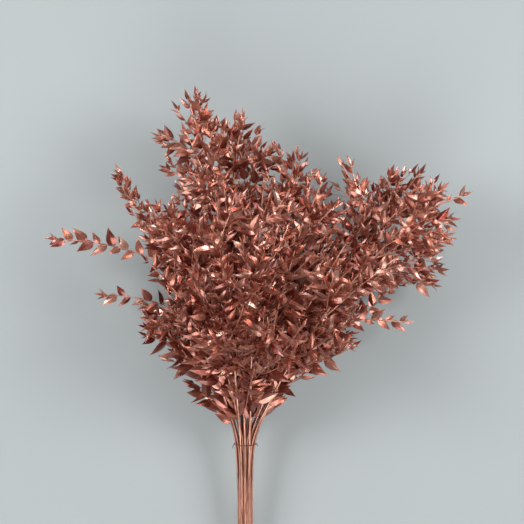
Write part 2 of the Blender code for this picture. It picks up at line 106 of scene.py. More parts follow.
def smooth_route(before: Vector, points: list[Vector], count: int) -> list[Vector]:
    """Lays a smooth curve through points.

    Args:
        before: the point that the curve comes from.
        points: the points that it passes through.
        count: the number of steps wanted.

    Returns:
        count + 1 points, evenly spaced on the curve.
    """
    ends = [before, *points, 2 * points[-1] - points[-2]]
    fine = []
    steps = 24
    for a, b, c, d in zip(ends, ends[1:], ends[2:], ends[3:]):
        fine += [catmull_rom(a, b, c, d, k / steps) for k in range(steps)]
    fine.append(points[-1].copy())
    return evenly(fine, count)


def arc_towards(base: Vector, middle: Vector, tip: Vector) -> list[Vector]:
    """Points on a curve that leaves the base towards the middle, and then bends to the tip."""
    return [base.lerp(middle, t).lerp(middle.lerp(tip, t), t) for t in np.linspace(0, 1, 9)]


def leaning_out(
    base: Vector, along: Vector, around: float, lean: float, flatness: float, length: float,
    forward: float,
) -> list[Vector]:
    """Points on a curve that leans out from its parent and then bends forward.

    Args:
        base: where it leaves the parent.
        along: the parent's direction there.
        around: how far round the parent that is, in radians.
        lean: the angle between the two, in radians.
        flatness: how much of its rise is kept, since the bunch lies flat.
        length: its length.
        forward: how far its tip bends back to the parent's direction, from 0 to 1.

    Returns:
        The points.
    """
    outward = Matrix.Rotation(around, 3, along) @ along.orthogonal().normalized()
    outward.z *= flatness
    outward.normalize()
    direction = (along * math.cos(lean) + outward * math.sin(lean)).normalized()
    bend_at = 0.55
    tip = base + (direction * (1 - forward) + along * forward).normalized() * length
    return arc_towards(base, base + direction * length * bend_at, tip)


def smooth_shading(bm: bmesh.types.BMesh, sharp_from: float = math.radians(60)) -> None:
    """Shades a shape smooth, but for the edges that bend by this angle or more."""
    for face in bm.faces:
        face.smooth = True
    for edge in bm.edges:
        edge.smooth = edge.calc_face_angle() < sharp_from


def rest_on_surface(path: list[Vector], radii: Iterable[float], sides: int) -> None:
    """Lifts wood that would sink under the floor until it lies on it.

    Args:
        path: the wood's middle line, changed in place.
        radii: its radius at each point.
        sides: the sides of its section.
    """
    depth = 1 if sides % 2 == 0 else math.cos(math.pi / sides)
    for point, radius in zip(path, radii):
        point.z = max(point.z, radius * depth)


def frames_along(
    path: list[Vector], first_tangent: Vector | None = None, up: Vector = UP
) -> list[Matrix]:
    """Frames along a path.

    Args:
        path: the points.
        first_tangent: the direction at the first point, where it isn't the path's own.
        up: the direction that every frame's Y stays near.

    Returns:
        One frame a point, its Z along the path.
    """
    made = []
    for k, point in enumerate(path):
        along = (path[min(k + 1, len(path) - 1)] - path[max(k - 1, 0)]).normalized()
        if k == 0 and first_tangent:
            along = first_tangent
        across = up.cross(along).normalized()
        turn = Matrix((across, along.cross(across), along)).transposed()
        made.append(Matrix.Translation(point) @ turn.to_4x4())
    return made


def swept(
    frames: list[Matrix], radii: list[float], sides: int, ribs: list[float] | None = None
) -> bmesh.types.BMesh:
    """Extrudes a disc from frame to frame.

    Every corner carries its place in the wood as its "grain": where it lies in the first section,
    and how far along it is, so that streaks can follow the wood.

    Args:
        frames: the frames, one for each section.
        radii: the radius at each of them.
        sides: the sides of the disc.
        ribs: how far each corner stands out, as a share of the radius.

    Returns:
        The closed shape.
    """
    bm = bmesh.new()
    grain = bm.verts.layers.float_vector.new("grain")
    bmesh.ops.create_circle(bm, cap_ends=True, radius=radii[0], segments=sides)
    end = bm.faces[:][0]
    for vert, rib in zip(end.verts, ribs or []):
        vert.co *= rib
    for vert in end.verts:
        vert[grain] = vert.co
    bmesh.ops.transform(bm, matrix=frames[0], verts=bm.verts)
    distance = 0.0
    for before, after, r0, r1 in zip(frames, frames[1:], radii, radii[1:]):
        grown = bmesh.ops.extrude_face_region(bm, geom=[end])
        if before is not frames[0]:
            bm.faces.remove(end)
        end = next(g for g in grown["geom"] if isinstance(g, bmesh.types.BMFace))
        move = after @ Matrix.Scale(r1 / r0, 4) @ before.inverted()
        bmesh.ops.transform(bm, matrix=move, verts=end.verts)
        distance += (after.translation - before.translation).length
        for vert in end.verts:
            vert[grain].z = distance
    bmesh.ops.recalc_face_normals(bm, faces=bm.faces)
    return bm


# How ruscus grows


@dataclass(frozen=True)
class StemPlan:
    """One stem of the bunch: where it goes after the tie, and what grows on it. Lengths in mm.

    Attributes:
        name: what the stem is called in the frame, without its "stem_".
        route: the points that it passes through after the tie, the last one its tip.
        shoots: how many side shoots grow by rule.
        leafy_from: the height of its lowest leaf over the tie.
        aimed: (height, tip) of the side shoots that give the bunch its outline.
    """

    name: str
    route: list[tuple[float, float, float]]
    shoots: int
    leafy_from: float
    aimed: list[tuple[float, tuple[float, float, float]]] = field(default_factory=list)


STEMS = [
    StemPlan("plume_left", [(-30, 200, 98), (-50, 380, 108), (-79, 486, 118)], 7, 110,
             [(398, (-120, 436, 96)), (345, (-110, 390, 80)), (440, (-56, 484, 126)),
              (318, (-94, 362, 70))]),
    StemPlan("top_middle", [(-16, 250, 76), (-14, 390, 84), (-4, 462, 92)], 6, 110,
             [(372, (20, 444, 84)), (362, (-34, 452, 100)), (350, (36, 414, 92))]),
    StemPlan("left_arched", [(-58, 150, 80), (-93, 224, 84), (-146, 326, 88), (-175, 386, 94)],
             5, 90, [(258, (-268, 291, 84))]),
    StemPlan("left_front", [(-44, 180, 122), (-80, 270, 146), (-118, 336, 150)], 6, 80),
    StemPlan("left_low", [(-34, 62, 36), (-86, 123, 42), (-138, 182, 50)], 4, 30),
    StemPlan("left_wide", [(-42, 110, 42), (-84, 196, 54), (-126, 238, 64)], 3, 70,
             [(186, (-202, 213, 52))]),
    StemPlan("left_under", [(-40, 170, 20), (-92, 318, 1)], 5, 90, [(120, (-146, 196, 0))]),
    StemPlan("middle_left_front", [(-20, 180, 136), (-38, 340, 180)], 6, 90),
    StemPlan("middle_front", [(12, 180, 144), (26, 360, 188)], 6, 90),
    StemPlan("low_front", [(-4, 80, 78), (-12, 140, 128), (-28, 192, 164)], 4, 42),
    StemPlan("crown_right", [(36, 240, 88), (62, 340, 100), (79, 406, 108)], 7, 110,
             [(275, (102, 350, 66)), (350, (46, 418, 96))]),
    StemPlan("right_shoulder", [(42, 180, 118), (78, 300, 140), (108, 372, 136)], 7, 80,
             [(285, (130, 338, 110))]),
    StemPlan("right_upper", [(70, 170, 96), (122, 250, 104), (165, 310, 112), (160, 356, 118),
                             (134, 394, 124)], 6, 90),
    StemPlan("right_cluster", [(70, 150, 60), (122, 232, 70), (172, 296, 78), (222, 350, 88),
                               (246, 386, 92)], 7, 90,
             [(268, (270, 258, 62)), (300, (204, 384, 104)), (330, (280, 322, 66)),
              (290, (190, 368, 84))]),
    StemPlan("right_far", [(66, 120, 90), (132, 212, 108), (214, 300, 122), (264, 344, 118),
                           (306, 353, 110)], 7, 90,
             [(262, (284, 290, 96)), (300, (262, 370, 128)), (306, (286, 318, 130))]),
    StemPlan("right_outer", [(60, 110, 50), (108, 188, 54), (150, 226, 62), (200, 246, 66),
                             (276, 248, 66)], 5, 80, [(232, (268, 226, 46))]),
    StemPlan("right_under", [(40, 160, 16), (120, 300, 1)], 5, 90, [(125, (146, 178, 0))]),
    StemPlan("right_low", [(52, 100, 40), (98, 156, 48), (150, 176, 50), (228, 174, 44)], 3, 50),
    StemPlan("right_base", [(40, 66, 40), (72, 118, 42), (104, 142, 38), (150, 149, 30)], 2, 30),
]

# Sprays of the finer pieces alone: they fan out over the front of the head, each from a stem at a
# height over the tie, to its tip. In mm.
FRONT_SPRAYS = [
    ("right_far", 34, (52, 98, 78)), ("right_shoulder", 40, (34, 112, 90)),
    ("low_front", 36, (12, 104, 90)), ("right_low", 34, (70, 82, 60)),
    ("low_front", 58, (-66, 168, 124)), ("low_front", 74, (22, 172, 136)),
    ("middle_front", 72, (68, 164, 118)), ("middle_front", 122, (62, 236, 172)),
    ("middle_front", 180, (6, 296, 194)), ("middle_left_front", 102, (-74, 216, 154)),
    ("middle_left_front", 168, (-70, 300, 184)), ("middle_left_front", 136, (-8, 252, 182)),
    ("left_front", 64, (-84, 142, 90)), ("left_front", 96, (-108, 196, 112)),
    ("left_front", 158, (-126, 262, 138)), ("right_shoulder", 84, (96, 180, 108)),
    ("right_shoulder", 134, (110, 252, 150)), ("right_shoulder", 196, (82, 320, 168)),
    ("right_far", 62, (92, 140, 82)), ("right_far", 114, (150, 204, 110)),
    ("right_far", 176, (206, 262, 132)), ("right_upper", 156, (140, 286, 144)),
    ("crown_right", 240, (30, 342, 118)), ("plume_left", 280, (-84, 352, 132)),
    ("top_middle", 300, (-34, 392, 122)), ("plume_left", 360, (-82, 440, 134)),
    ("left_arched", 190, (-136, 262, 112)), ("right_cluster", 250, (212, 330, 122)),
    ("crown_right", 300, (30, 386, 110)), ("top_middle", 326, (44, 398, 104)),
    ("crown_right", 322, (98, 380, 116)), ("left_arched", 240, (-102, 340, 96)),
    ("plume_left", 408, (-94, 472, 122)), ("plume_left", 376, (-44, 446, 126)),
    ("top_middle", 400, (-18, 466, 96)), ("right_upper", 330, (146, 396, 118)),
    ("left_low", 36, (-78, 84, 52)), ("left_wide", 58, (-106, 122, 66)),
    ("crown_right", 276, (52, 384, 106)), ("plume_left", 262, (-94, 346, 92)),
]

# The outline of the leafy head seen from above, in mm from the middle of the tie. What grows by
# rule stays within it, and only the aimed shoots stand out.
OUTLINE = [
    (-18, 20), (-60, 52), (-98, 98), (-150, 152), (-152, 180), (-138, 196), (-96, 204), (-134, 238),
    (-122, 268), (-152, 300), (-172, 342), (-186, 392), (-172, 404), (-142, 350), (-98, 352),
    (-112, 388), (-130, 438), (-108, 450), (-92, 440), (-96, 486), (-82, 504), (-54, 496),
    (-34, 470), (-4, 480), (22, 450), (30, 428), (66, 424), (86, 416), (116, 380), (138, 344),
    (148, 340), (128, 404), (146, 404), (162, 372), (190, 380), (206, 396), (248, 402), (262, 372),
    (304, 364), (318, 352), (286, 344), (296, 300), (278, 250), (274, 222), (230, 230), (170, 196),
    (168, 164), (158, 142), (94, 128), (80, 102), (54, 78), (44, 52), (18, 20),
]

# Where the backdrop shows between the sprays: (x, y, radius) in mm of places that twigs and
# filling leaves stay out of.
BARE_PLACES = [
    (212, 270, 13), (230, 268, 13), (250, 264, 12), (268, 262, 10), (246, 222, 10), (230, 218, 8),
    (192, 202, 8), (117, 124, 13), (96, 111, 12), (137, 125, 9), (84, 96, 8), (81, 82, 8),
    (64, 79, 8), (-147, 263, 12), (-127, 253, 9), (-106, 216, 9), (-159, 222, 8), (-113, 185, 8),
    (-121, 139, 8), (125, 364, 11), (224, 393, 9), (284, 339, 8), (-100, 438, 9), (-89, 448, 8),
    (-112, 389, 9), (-99, 371, 8), (-121, 335, 8), (-161, 329, 8), (17, 449, 8), (-42, 471, 8),
]


def in_outline(point: Vector) -> bool:
    """Whether a point lies within the head's outline, seen from above."""
    x, y = point.x / MM, point.y / MM
    inside = False
    for (x0, y0), (x1, y1) in zip(OUTLINE, OUTLINE[1:] + OUTLINE[:1]):
        if (y0 > y) != (y1 > y) and x < x0 + (x1 - x0) * (y - y0) / (y1 - y0):
            inside = not inside
    return inside


def is_bare(point: Vector) -> bool:
    """Whether a point lies over one of the bare places."""
    return any(math.hypot(point.x / MM - x, point.y / MM - y) < r for x, y, r in BARE_PLACES)


class Order(Enum):
    """What a piece of wood is."""

    STEM = 0
    SHOOT = 1
    SPRAY = 2
    TWIG = 3


@dataclass
class Wood:
    """A piece of wood that bears leaves.

    Attributes:
        name: its name, which also seeds its random draws.
        order: what kind of wood it is.
        path: its middle line as the solid has it, in straight stretches.
        radii: its radius at each point of the path.
        sides: the sides of its section in the solid.
        first_tangent: the direction that its first section faces.
        outer: whether it is one of the shoots that make the bunch's outline.
    """

    name: str
    order: Order
    path: list[Vector]
    radii: list[float]
    sides: int
    first_tangent: Vector | None = None
    outer: bool = False

    def length(self) -> float:
        """Its length along the middle line."""
        return sum((b - a).length for a, b in zip(self.path, self.path[1:]))

    def locate(self, distance: float) -> tuple[int, float]:
        """Finds a distance from the base: the stretch that it is in, and the share of it."""
        for k, (a, b) in enumerate(zip(self.path, self.path[1:])):
            step = (b - a).length
            if distance <= step:
                return k, distance / step
            distance -= step
        return len(self.path) - 2, 1.0

    def at(self, distance: float) -> tuple[Vector, Vector, float]:
        """The point at this distance from the base, the direction there, and the radius."""
        k, share = self.locate(distance)
        a, b = self.path[k], self.path[k + 1]
        r0, r1 = self.radii[k], self.radii[k + 1]
        return a.lerp(b, share), (b - a).normalized(), r0 + (r1 - r0) * share

    def distance_at(self, y: float) -> float:
        """The distance from the base at which the wood first reaches this Y."""
        distance = 0.0
        while self.at(distance)[0].y < y and distance < self.length():
            distance += 1 * MM
        return distance

    def smooth_at(self, k: int, share: float) -> Vector:
        """The point on the smooth curve through the path, at a share of its k-th stretch."""
        points = [2 * self.path[0] - self.path[1], *self.path, 2 * self.path[-1] - self.path[-2]]
        point = catmull_rom(*points[k:k + 4], share)
        at_root = k == 0 and share == 0 and self.order is not Order.STEM
        if not at_root:
            point.z = max(point.z, RIB_ROOM * self.radii[k])
        return point

    def sway(self, distance: float) -> Vector:
        """How far the smooth curve lies from the straight stretches at this distance."""
        return self.smooth_at(*self.locate(distance)) - self.at(distance)[0]

    def solid(self, grown: float = 0.0) -> bmesh.types.BMesh:
        """The wood as its solid has it, grown by that much on all sides."""
        frames = frames_along(self.path, self.first_tangent)
        return swept(frames, [r + grown for r in self.radii], self.sides)


class Room:
    """The space taken so far, and whether another shape would touch what is there."""

    cell = 25 * MM

    def __init__(self) -> None:
        """Starts empty."""
        self.taken: list[tuple[np.ndarray, np.ndarray, BVHTree, str]] = []
        self.cells: dict[tuple[int, ...], set[int]] = defaultdict(set)

    def reach(
        self, bm: bmesh.types.BMesh
    ) -> tuple[np.ndarray, np.ndarray, Iterator[tuple[int, ...]]]:
        """The lowest and highest corner of a shape's box, and the cells that it lies in."""
        points = [v.co for v in bm.verts]
        low, high = np.min(points, axis=0), np.max(points, axis=0)
        spans = [range(math.floor(a / self.cell), math.floor(b / self.cell) + 1)
                 for a, b in zip(low, high)]
        return low, high, itertools.product(*spans)

    def add(self, bm: bmesh.types.BMesh, owner: str) -> None:
        """Takes the space of a shape, which is used up.

        Args:
            bm: the shape.
            owner: the name that later tests can ignore it by.
        """
        low, high, cells = self.reach(bm)
        for cell in cells:
            self.cells[cell].add(len(self.taken))
        self.taken.append((low, high, BVHTree.FromBMesh(bm), owner))
        bm.free()

    def is_free(self, bm: bmesh.types.BMesh, ignore: tuple[str, ...] = ()) -> bool:
        """Whether a shape, which is used up, touches nothing but what is ignored.

        Args:
            bm: the shape.
            ignore: the names of what it may touch.

        Returns:
            True if it is free.
        """
        low, high, cells = self.reach(bm)
        near = set().union(*(self.cells[cell] for cell in cells if cell in self.cells))
        tree = BVHTree.FromBMesh(bm)
        bm.free()
        for k in sorted(near):
            other_low, other_high, other_tree, owner = self.taken[k]
            if owner in ignore or (other_low > high).any() or (other_high < low).any():
                continue
            if tree.overlap(other_tree):
                return False
        return True

    def box(self) -> tuple[Vector, Vector]:
        """The lowest and highest corner of everything in it."""
        return (Vector(np.min([low for low, *_ in self.taken], axis=0)),
                Vector(np.max([high for _, high, *_ in self.taken], axis=0)))


@dataclass(frozen=True)
class Bundle:
    """The bare stems, nested like a honeycomb at their waist and bound where they begin to part.

    Attributes:
        cut_y: the height of the cut ends over the tie, which is at 0.
        waist_y: the height of the waist.
        rows: how many stems each row holds there, from the lowest row up.
        pitch: the distance between two neighbours there.
        spread_at_cut: how much wider and taller the bundle is at the cut ends.
        tie_wider: how much wider it is at the tie.
        tie_flatter: how much flatter it is there.
        slope: how steeply it rises from the cut ends.
        cut_uneven: how far apart in height the cut ends may be.
        aim_y: the height at which the stems' routes decide which place each one gets.
        cut_radius: a stem's radius up to the waist.
        tie_radius: its radius at the tie.
        tip_radius: its radius at its tip.
        sides: the sides of its section in the solid.
        bends: the stretches that its route has there.
    """

    cut_y: float = -197 * MM
    waist_y: float = -88 * MM
    rows: tuple[int, ...] = (3, 4, 5, 4, 3)
    pitch: float = 4.5 * MM
    spread_at_cut: float = 1.12
    tie_wider: float = 1.42
    tie_flatter: float = 0.95
    slope: float = math.radians(7.5)
    cut_uneven: float = 9 * MM
    aim_y: float = 90 * MM
    cut_radius: float = 2.1 * MM
    tie_radius: float = 1.9 * MM
    tip_radius: float = 0.8 * MM
    sides: int = 6
    bends: int = 6

    def row_rise(self) -> float:
        """The height of one row of stems over the next."""
        return self.pitch * math.sin(math.radians(60))

    def places(self) -> list[Vector]:
        """Each stem's place across the waist."""
        places = []
        for row, count in enumerate(self.rows):
            height = (row - (len(self.rows) - 1) / 2) * self.row_rise()
            places += [Vector(((k - (count - 1) / 2) * self.pitch, height)) for k in range(count)]
        return places

    def height(self, y: float) -> float:
        """The height of the bundle's middle at this Y."""
        rows_under = (len(self.rows) - 1) / 2
        at_cut = rows_under * self.row_rise() * self.spread_at_cut + self.cut_radius
        return at_cut + (y - self.cut_y) * math.tan(self.slope)

    def faces_out(self, point: Vector, normal: Vector) -> float:
        """How much a place on a stem faces out of the bundle: 1 outside, less than 0 within."""
        wide = (max(self.rows) - 1) / 2 * self.pitch * self.spread_at_cut + self.cut_radius
        tall = (len(self.rows) - 1) / 2 * self.row_rise() + self.cut_radius
        rise = point.z - self.height(point.y)
        return normal.dot(Vector((point.x / wide, 0, rise / tall)))

    def aim_of(self, plan: StemPlan) -> Vector:
        """Where the stem's route passes, across the bunch, a little above the tie."""
        points = [(0, 0, self.height(0) / MM), *plan.route]
        heights = [p[1] for p in points]
        aim_y = self.aim_y / MM
        return Vector([np.interp(aim_y, heights, [p[k] for p in points]) for k in (0, 2)])

    def shared_out(self, plans: list[StemPlan]) -> list[Vector]:
        """Shares the places out, each on the side that its stem leaves by, so that none cross.

        Args:
            plans: the stems.

        Returns:
            A place across the waist for each of them.
        """
        places = self.places()
        aims = [self.aim_of(plan) for plan in plans]
        chosen = list(range(len(plans)))
        swapped = True
        while swapped:
            swapped = False
            for i, j in itertools.combinations(range(len(plans)), 2):
                apart = places[chosen[i]] - places[chosen[j]]
                if apart.dot(aims[i] - aims[j]) < -1e-9:
                    chosen[i], chosen[j] = chosen[j], chosen[i]
                    swapped = True
        return [places[k] for k in chosen]

    def axis(self, plan: StemPlan, place: Vector, lift: float) -> Wood:
        """A stem's own axis, from its cut end through the bundle and along its route.

        Args:
            plan: the stem.
            place: its place across the waist.
            lift: how much higher than planned it ends, to clear its neighbours.

        Returns:
            The wood.
        """
        lowest_row = place.y < -1.5 * self.row_rise()
        uneven = random.Random(f"{plan.name} cut").uniform(0.1, 1) * self.cut_uneven
        cut_y = self.cut_y if lowest_row else self.cut_y + uneven

        def across(y: float, wide: float, tall: float) -> Vector:
            """The stem's point at this Y, with the bundle so much wider and taller."""
            return Vector((place.x * wide, y, self.height(y) + place.y * tall))

        lower = [across(cut_y, self.spread_at_cut, self.spread_at_cut),
                 across(self.waist_y, 1, 1)]
        upper = [across(0.0, self.tie_wider, self.tie_flatter)]
        for k, point in enumerate(plan.route):
            rise = lift * (k + 1) / len(plan.route)
            upper.append(Vector(point) * MM + Vector((0, 0, rise)))
        path = lower + smooth_route(lower[-1], upper, self.bends)
        radii = [self.cut_radius, self.cut_radius]
        radii += list(np.linspace(self.tie_radius, self.tip_radius, self.bends + 1))
        rest_on_surface(path, radii, self.sides)
        return Wood(plan.name, Order.STEM, path, radii, self.sides, Vector((0, 1, 0)))


@dataclass(frozen=True)
class ShootRule:
    """How the side shoots grow: each one further round its stem, and shorter towards its tip.

    One that has no room is drawn again, each time turned on by another_turn and a little shorter.
    """

    radius: float = 1.1 * MM
    tip_radius: float = 0.6 * MM
    sides: int = 3
    bends: int = 3
    longest: float = 120 * MM
    shortest: float = 50 * MM
    angles: tuple[float, float] = (30, 52)
    flatness: float = 0.62
    forward: float = 0.2
    bow: float = 0.12
    over_first_leaf: float = 20 * MM
    phase: float = 0.35
    last_at: float = 0.96
    place_spread: float = 0.04
    turn_spread: float = 0.5
    another_turn: float = 0.7
    shorter: float = 0.975
    length_spread: tuple[float, float] = (0.8, 1.15)
    thinner: float = 0.72
    head_top: float = 212 * MM
    end_leaf: float = 14 * MM

    def along(self, name: str, curve: list[Vector], stem_radius: float) -> Wood:
        """A shoot along a curve, thinner than the stem that it grows from.

        Args:
            name: its name.
            curve: its middle line.
            stem_radius: the stem's radius where it grows.

        Returns:
            The wood.
        """
        thick = min(self.radius, self.thinner * stem_radius)
        path = evenly(curve, self.bends)
        radii = list(np.linspace(thick, self.tip_radius, self.bends + 1))
        root = path[0].copy()
        rest_on_surface(path, radii, self.sides)
        path[0] = root
        return Wood(name, Order.SHOOT, path, radii, self.sides)

    def aimed(
        self, axis: Wood, name: str, height: float, tip: tuple[float, float, float], lift: float,
        order: Order = Order.SHOOT,
    ) -> Wood:
        """A shoot that ends at a given point.

        Args:
            axis: the stem that it leaves.
            name: its name.
            height: where it leaves the stem, in mm over the tie.
            tip: where it ends, in mm.
            lift: how much higher it ends than that.
            order: what it is.

        Returns:
            The wood.
        """
        base, along, radius = axis.at(axis.distance_at(height * MM))
        end = Vector(tip) * MM + Vector((0, 0, lift))
        middle = base.lerp(end, 0.5) + along * self.bow * (end - base).length
        shoot = self.along(name, arc_towards(base, middle, end), radius)
        return replace(shoot, order=order, outer=order is Order.SHOOT)

    def ruled(
        self, plan: StemPlan, axis: Wood, k: int, attempt: int, rng: random.Random
    ) -> Wood:
        """A draw of the stem's k-th shoot.

        Args:
            plan: the stem.
            axis: its wood.
            k: which of its shoots this is.
            attempt: how many draws had no room.
            rng: the shoot's own random numbers.

        Returns:
            The wood.
        """
        whole = axis.length()
        first = axis.distance_at(plan.leafy_from * MM) + self.over_first_leaf
        share = (k + self.phase) / plan.shoots
        place = share + rng.uniform(-self.place_spread, self.place_spread)
        base, along, radius = axis.at(first + (whole * self.last_at - first) * place)
        around = k * GOLDEN_TURN + rng.uniform(-self.turn_spread, self.turn_spread)
        around += attempt * self.another_turn
        lean = math.radians(rng.uniform(*self.angles))
        length = self.longest + (self.shortest - self.longest) * share
        length *= rng.uniform(*self.length_spread) * self.shorter ** attempt
        curve = leaning_out(base, along, around, lean, self.flatness, length, self.forward)
        return self.along(f"{plan.name} {k}", curve, radius)

    def stays_in_head(self, shoot: Wood) -> bool:
        """Whether the shoot, with its end leaf, stays within the outline and under the top."""
        base, tip = shoot.path[0], shoot.path[-1]
        leaf_tip = tip + (tip - base).normalized() * self.end_leaf
        return in_outline(leaf_tip) and leaf_tip.z < self.head_top


@dataclass(frozen=True)
class TwigRule:
    """How the short twigs grow that fill the head, close together on the stems and shoots.

    They lean forward, as all of the bunch does, and lie flatter than the shoots.
    """

    first: float = 8 * MM
    step: dict[Order, float] = field(
        default_factory=lambda: {Order.STEM: 9 * MM, Order.SHOOT: 13 * MM})
    longest: dict[Order, float] = field(
        default_factory=lambda: {Order.STEM: 76 * MM, Order.SHOOT: 50 * MM})
    shortest: dict[Order, float] = field(
        default_factory=lambda: {Order.STEM: 36 * MM, Order.SHOOT: 28 * MM})
    angles: tuple[float, float] = (20, 44)
    flatness: float = 0.5
    forward: float = 0.15
    last_at: float = 0.94
    turn_spread: float = 0.6
    another_turn: float = 1.1
    shorter: float = 0.95
    length_spread: tuple[float, float] = (0.75, 1.15)
    radius: float = 0.62 * MM
    tip_radius: float = 0.4 * MM
    thinner: float = 0.7
    sides: int = 3
    bends: int = 3
    tries: int = 8
    floor_gap: float = 5 * MM
    head_top: float = 203 * MM
    tip_leaf: float = 10 * MM

    def starts(self, parent: Wood, first_leaf: float) -> Iterator[float]:
        """Where on a stem or shoot its twigs begin, as distances from its base."""
        start = first_leaf + self.first
        step = self.step[parent.order]
        for k in range(int((parent.length() * self.last_at - start) / step)):
            yield start + k * step

    def draws(self, parent: Wood, start: float, k: int) -> Iterator[Wood]:
        """The draws of one twig, until one has room.

        Args:
            parent: the stem or shoot that it grows from.
            start: how far along the parent that is.
            k: which of the parent's twigs this is.

        Yields:
            One draw after another.
        """
        rng = random.Random(f"{parent.name} twig {k}")
        share = start / parent.length()
        base, along, radius = parent.at(start)
        base = base + parent.sway(start)
        longest, shortest = self.longest[parent.order], self.shortest[parent.order]
        for attempt in range(self.tries):
            around = k * GOLDEN_TURN + rng.uniform(-self.turn_spread, self.turn_spread)
            around += attempt * self.another_turn
            lean = math.radians(rng.uniform(*self.angles))
            length = longest + (shortest - longest) * share
            length *= rng.uniform(*self.length_spread) * self.shorter ** attempt
            curve = leaning_out(base, along, around, lean, self.flatness, length, self.forward)
            thick = min(self.radius, self.thinner * radius)
            radii = list(np.linspace(thick, self.tip_radius, self.bends + 1))
            yield Wood(f"{parent.name} twig {k}", Order.TWIG, evenly(curve, self.bends), radii,
                       self.sides)

    def stays_in_head(self, twig: Wood) -> bool:
        """Whether the twig, with its end leaf, stays within the head and off the floor."""
        base, tip = twig.path[0], twig.path[-1]
        leaf_tip = tip + (tip - base).normalized() * self.tip_leaf
        low_enough = self.floor_gap < leaf_tip.z < self.head_top
        return low_enough and in_outline(leaf_tip) and not is_bare(leaf_tip)


class LeafForm(Enum):
    """How a leaf has dried. Each form: half width as a share of the length, and its bends.

    The bends are the fold along the midrib and the roll of the two halves in degrees, the arch and
    the sideways sway of the tip as shares of the length, and the twist in degrees.
    """

    BROAD = (0.258, (4, 16), (0, 14), (0.02, 0.10), 0.05, 12)
    OPEN = (0.232, (5, 16), (0, 14), (0.02, 0.10), 0.05, 14)
    FOLDED = (0.218, (14, 34), (0, 10), (0.02, 0.12), 0.06, 16)
    CURLED = (0.200, (8, 20), (22, 60), (0.06, 0.20), 0.09, 30)
    NARROW = (0.135, (12, 34), (0, 30), (0.00, 0.10), 0.07, 24)
    BUD = (0.165, (10, 30), (0, 20), (0.00, 0.10), 0.06, 20)


@dataclass
class LeafSpot:
    """Where a leaf grows.

    Attributes:
        wood: what it grows from.
        key: the seed of its own random draws.
        distance: how far along the wood it is.
        side: the side of the wood, or 0 at the very tip.
        length: its length.
        lean: the angle between it and the wood, in degrees.
        twist: how much it may turn out of the plane of its spray, in radians.
        turn: how far round its wood it may grow where its own place is taken, in radians.
        inside: whether it must stay within the outline of the head.
        filling: whether it must stay out of the bare places.
        form: how it has dried, or None to leave that to chance.
    """

    wood: Wood
    key: str
    distance: float
    side: int
    length: float
    lean: float
    twist: float = 0.45
    turn: float = math.pi
    inside: bool = False
    filling: bool = False
    form: LeafForm | None = None


@dataclass
class GrownLeaf:
    """A leaf that has found its place: the matrix it grew by, its length, seed and form if set."""

    place: Matrix
    length: float
    key: str
    form: LeafForm | None


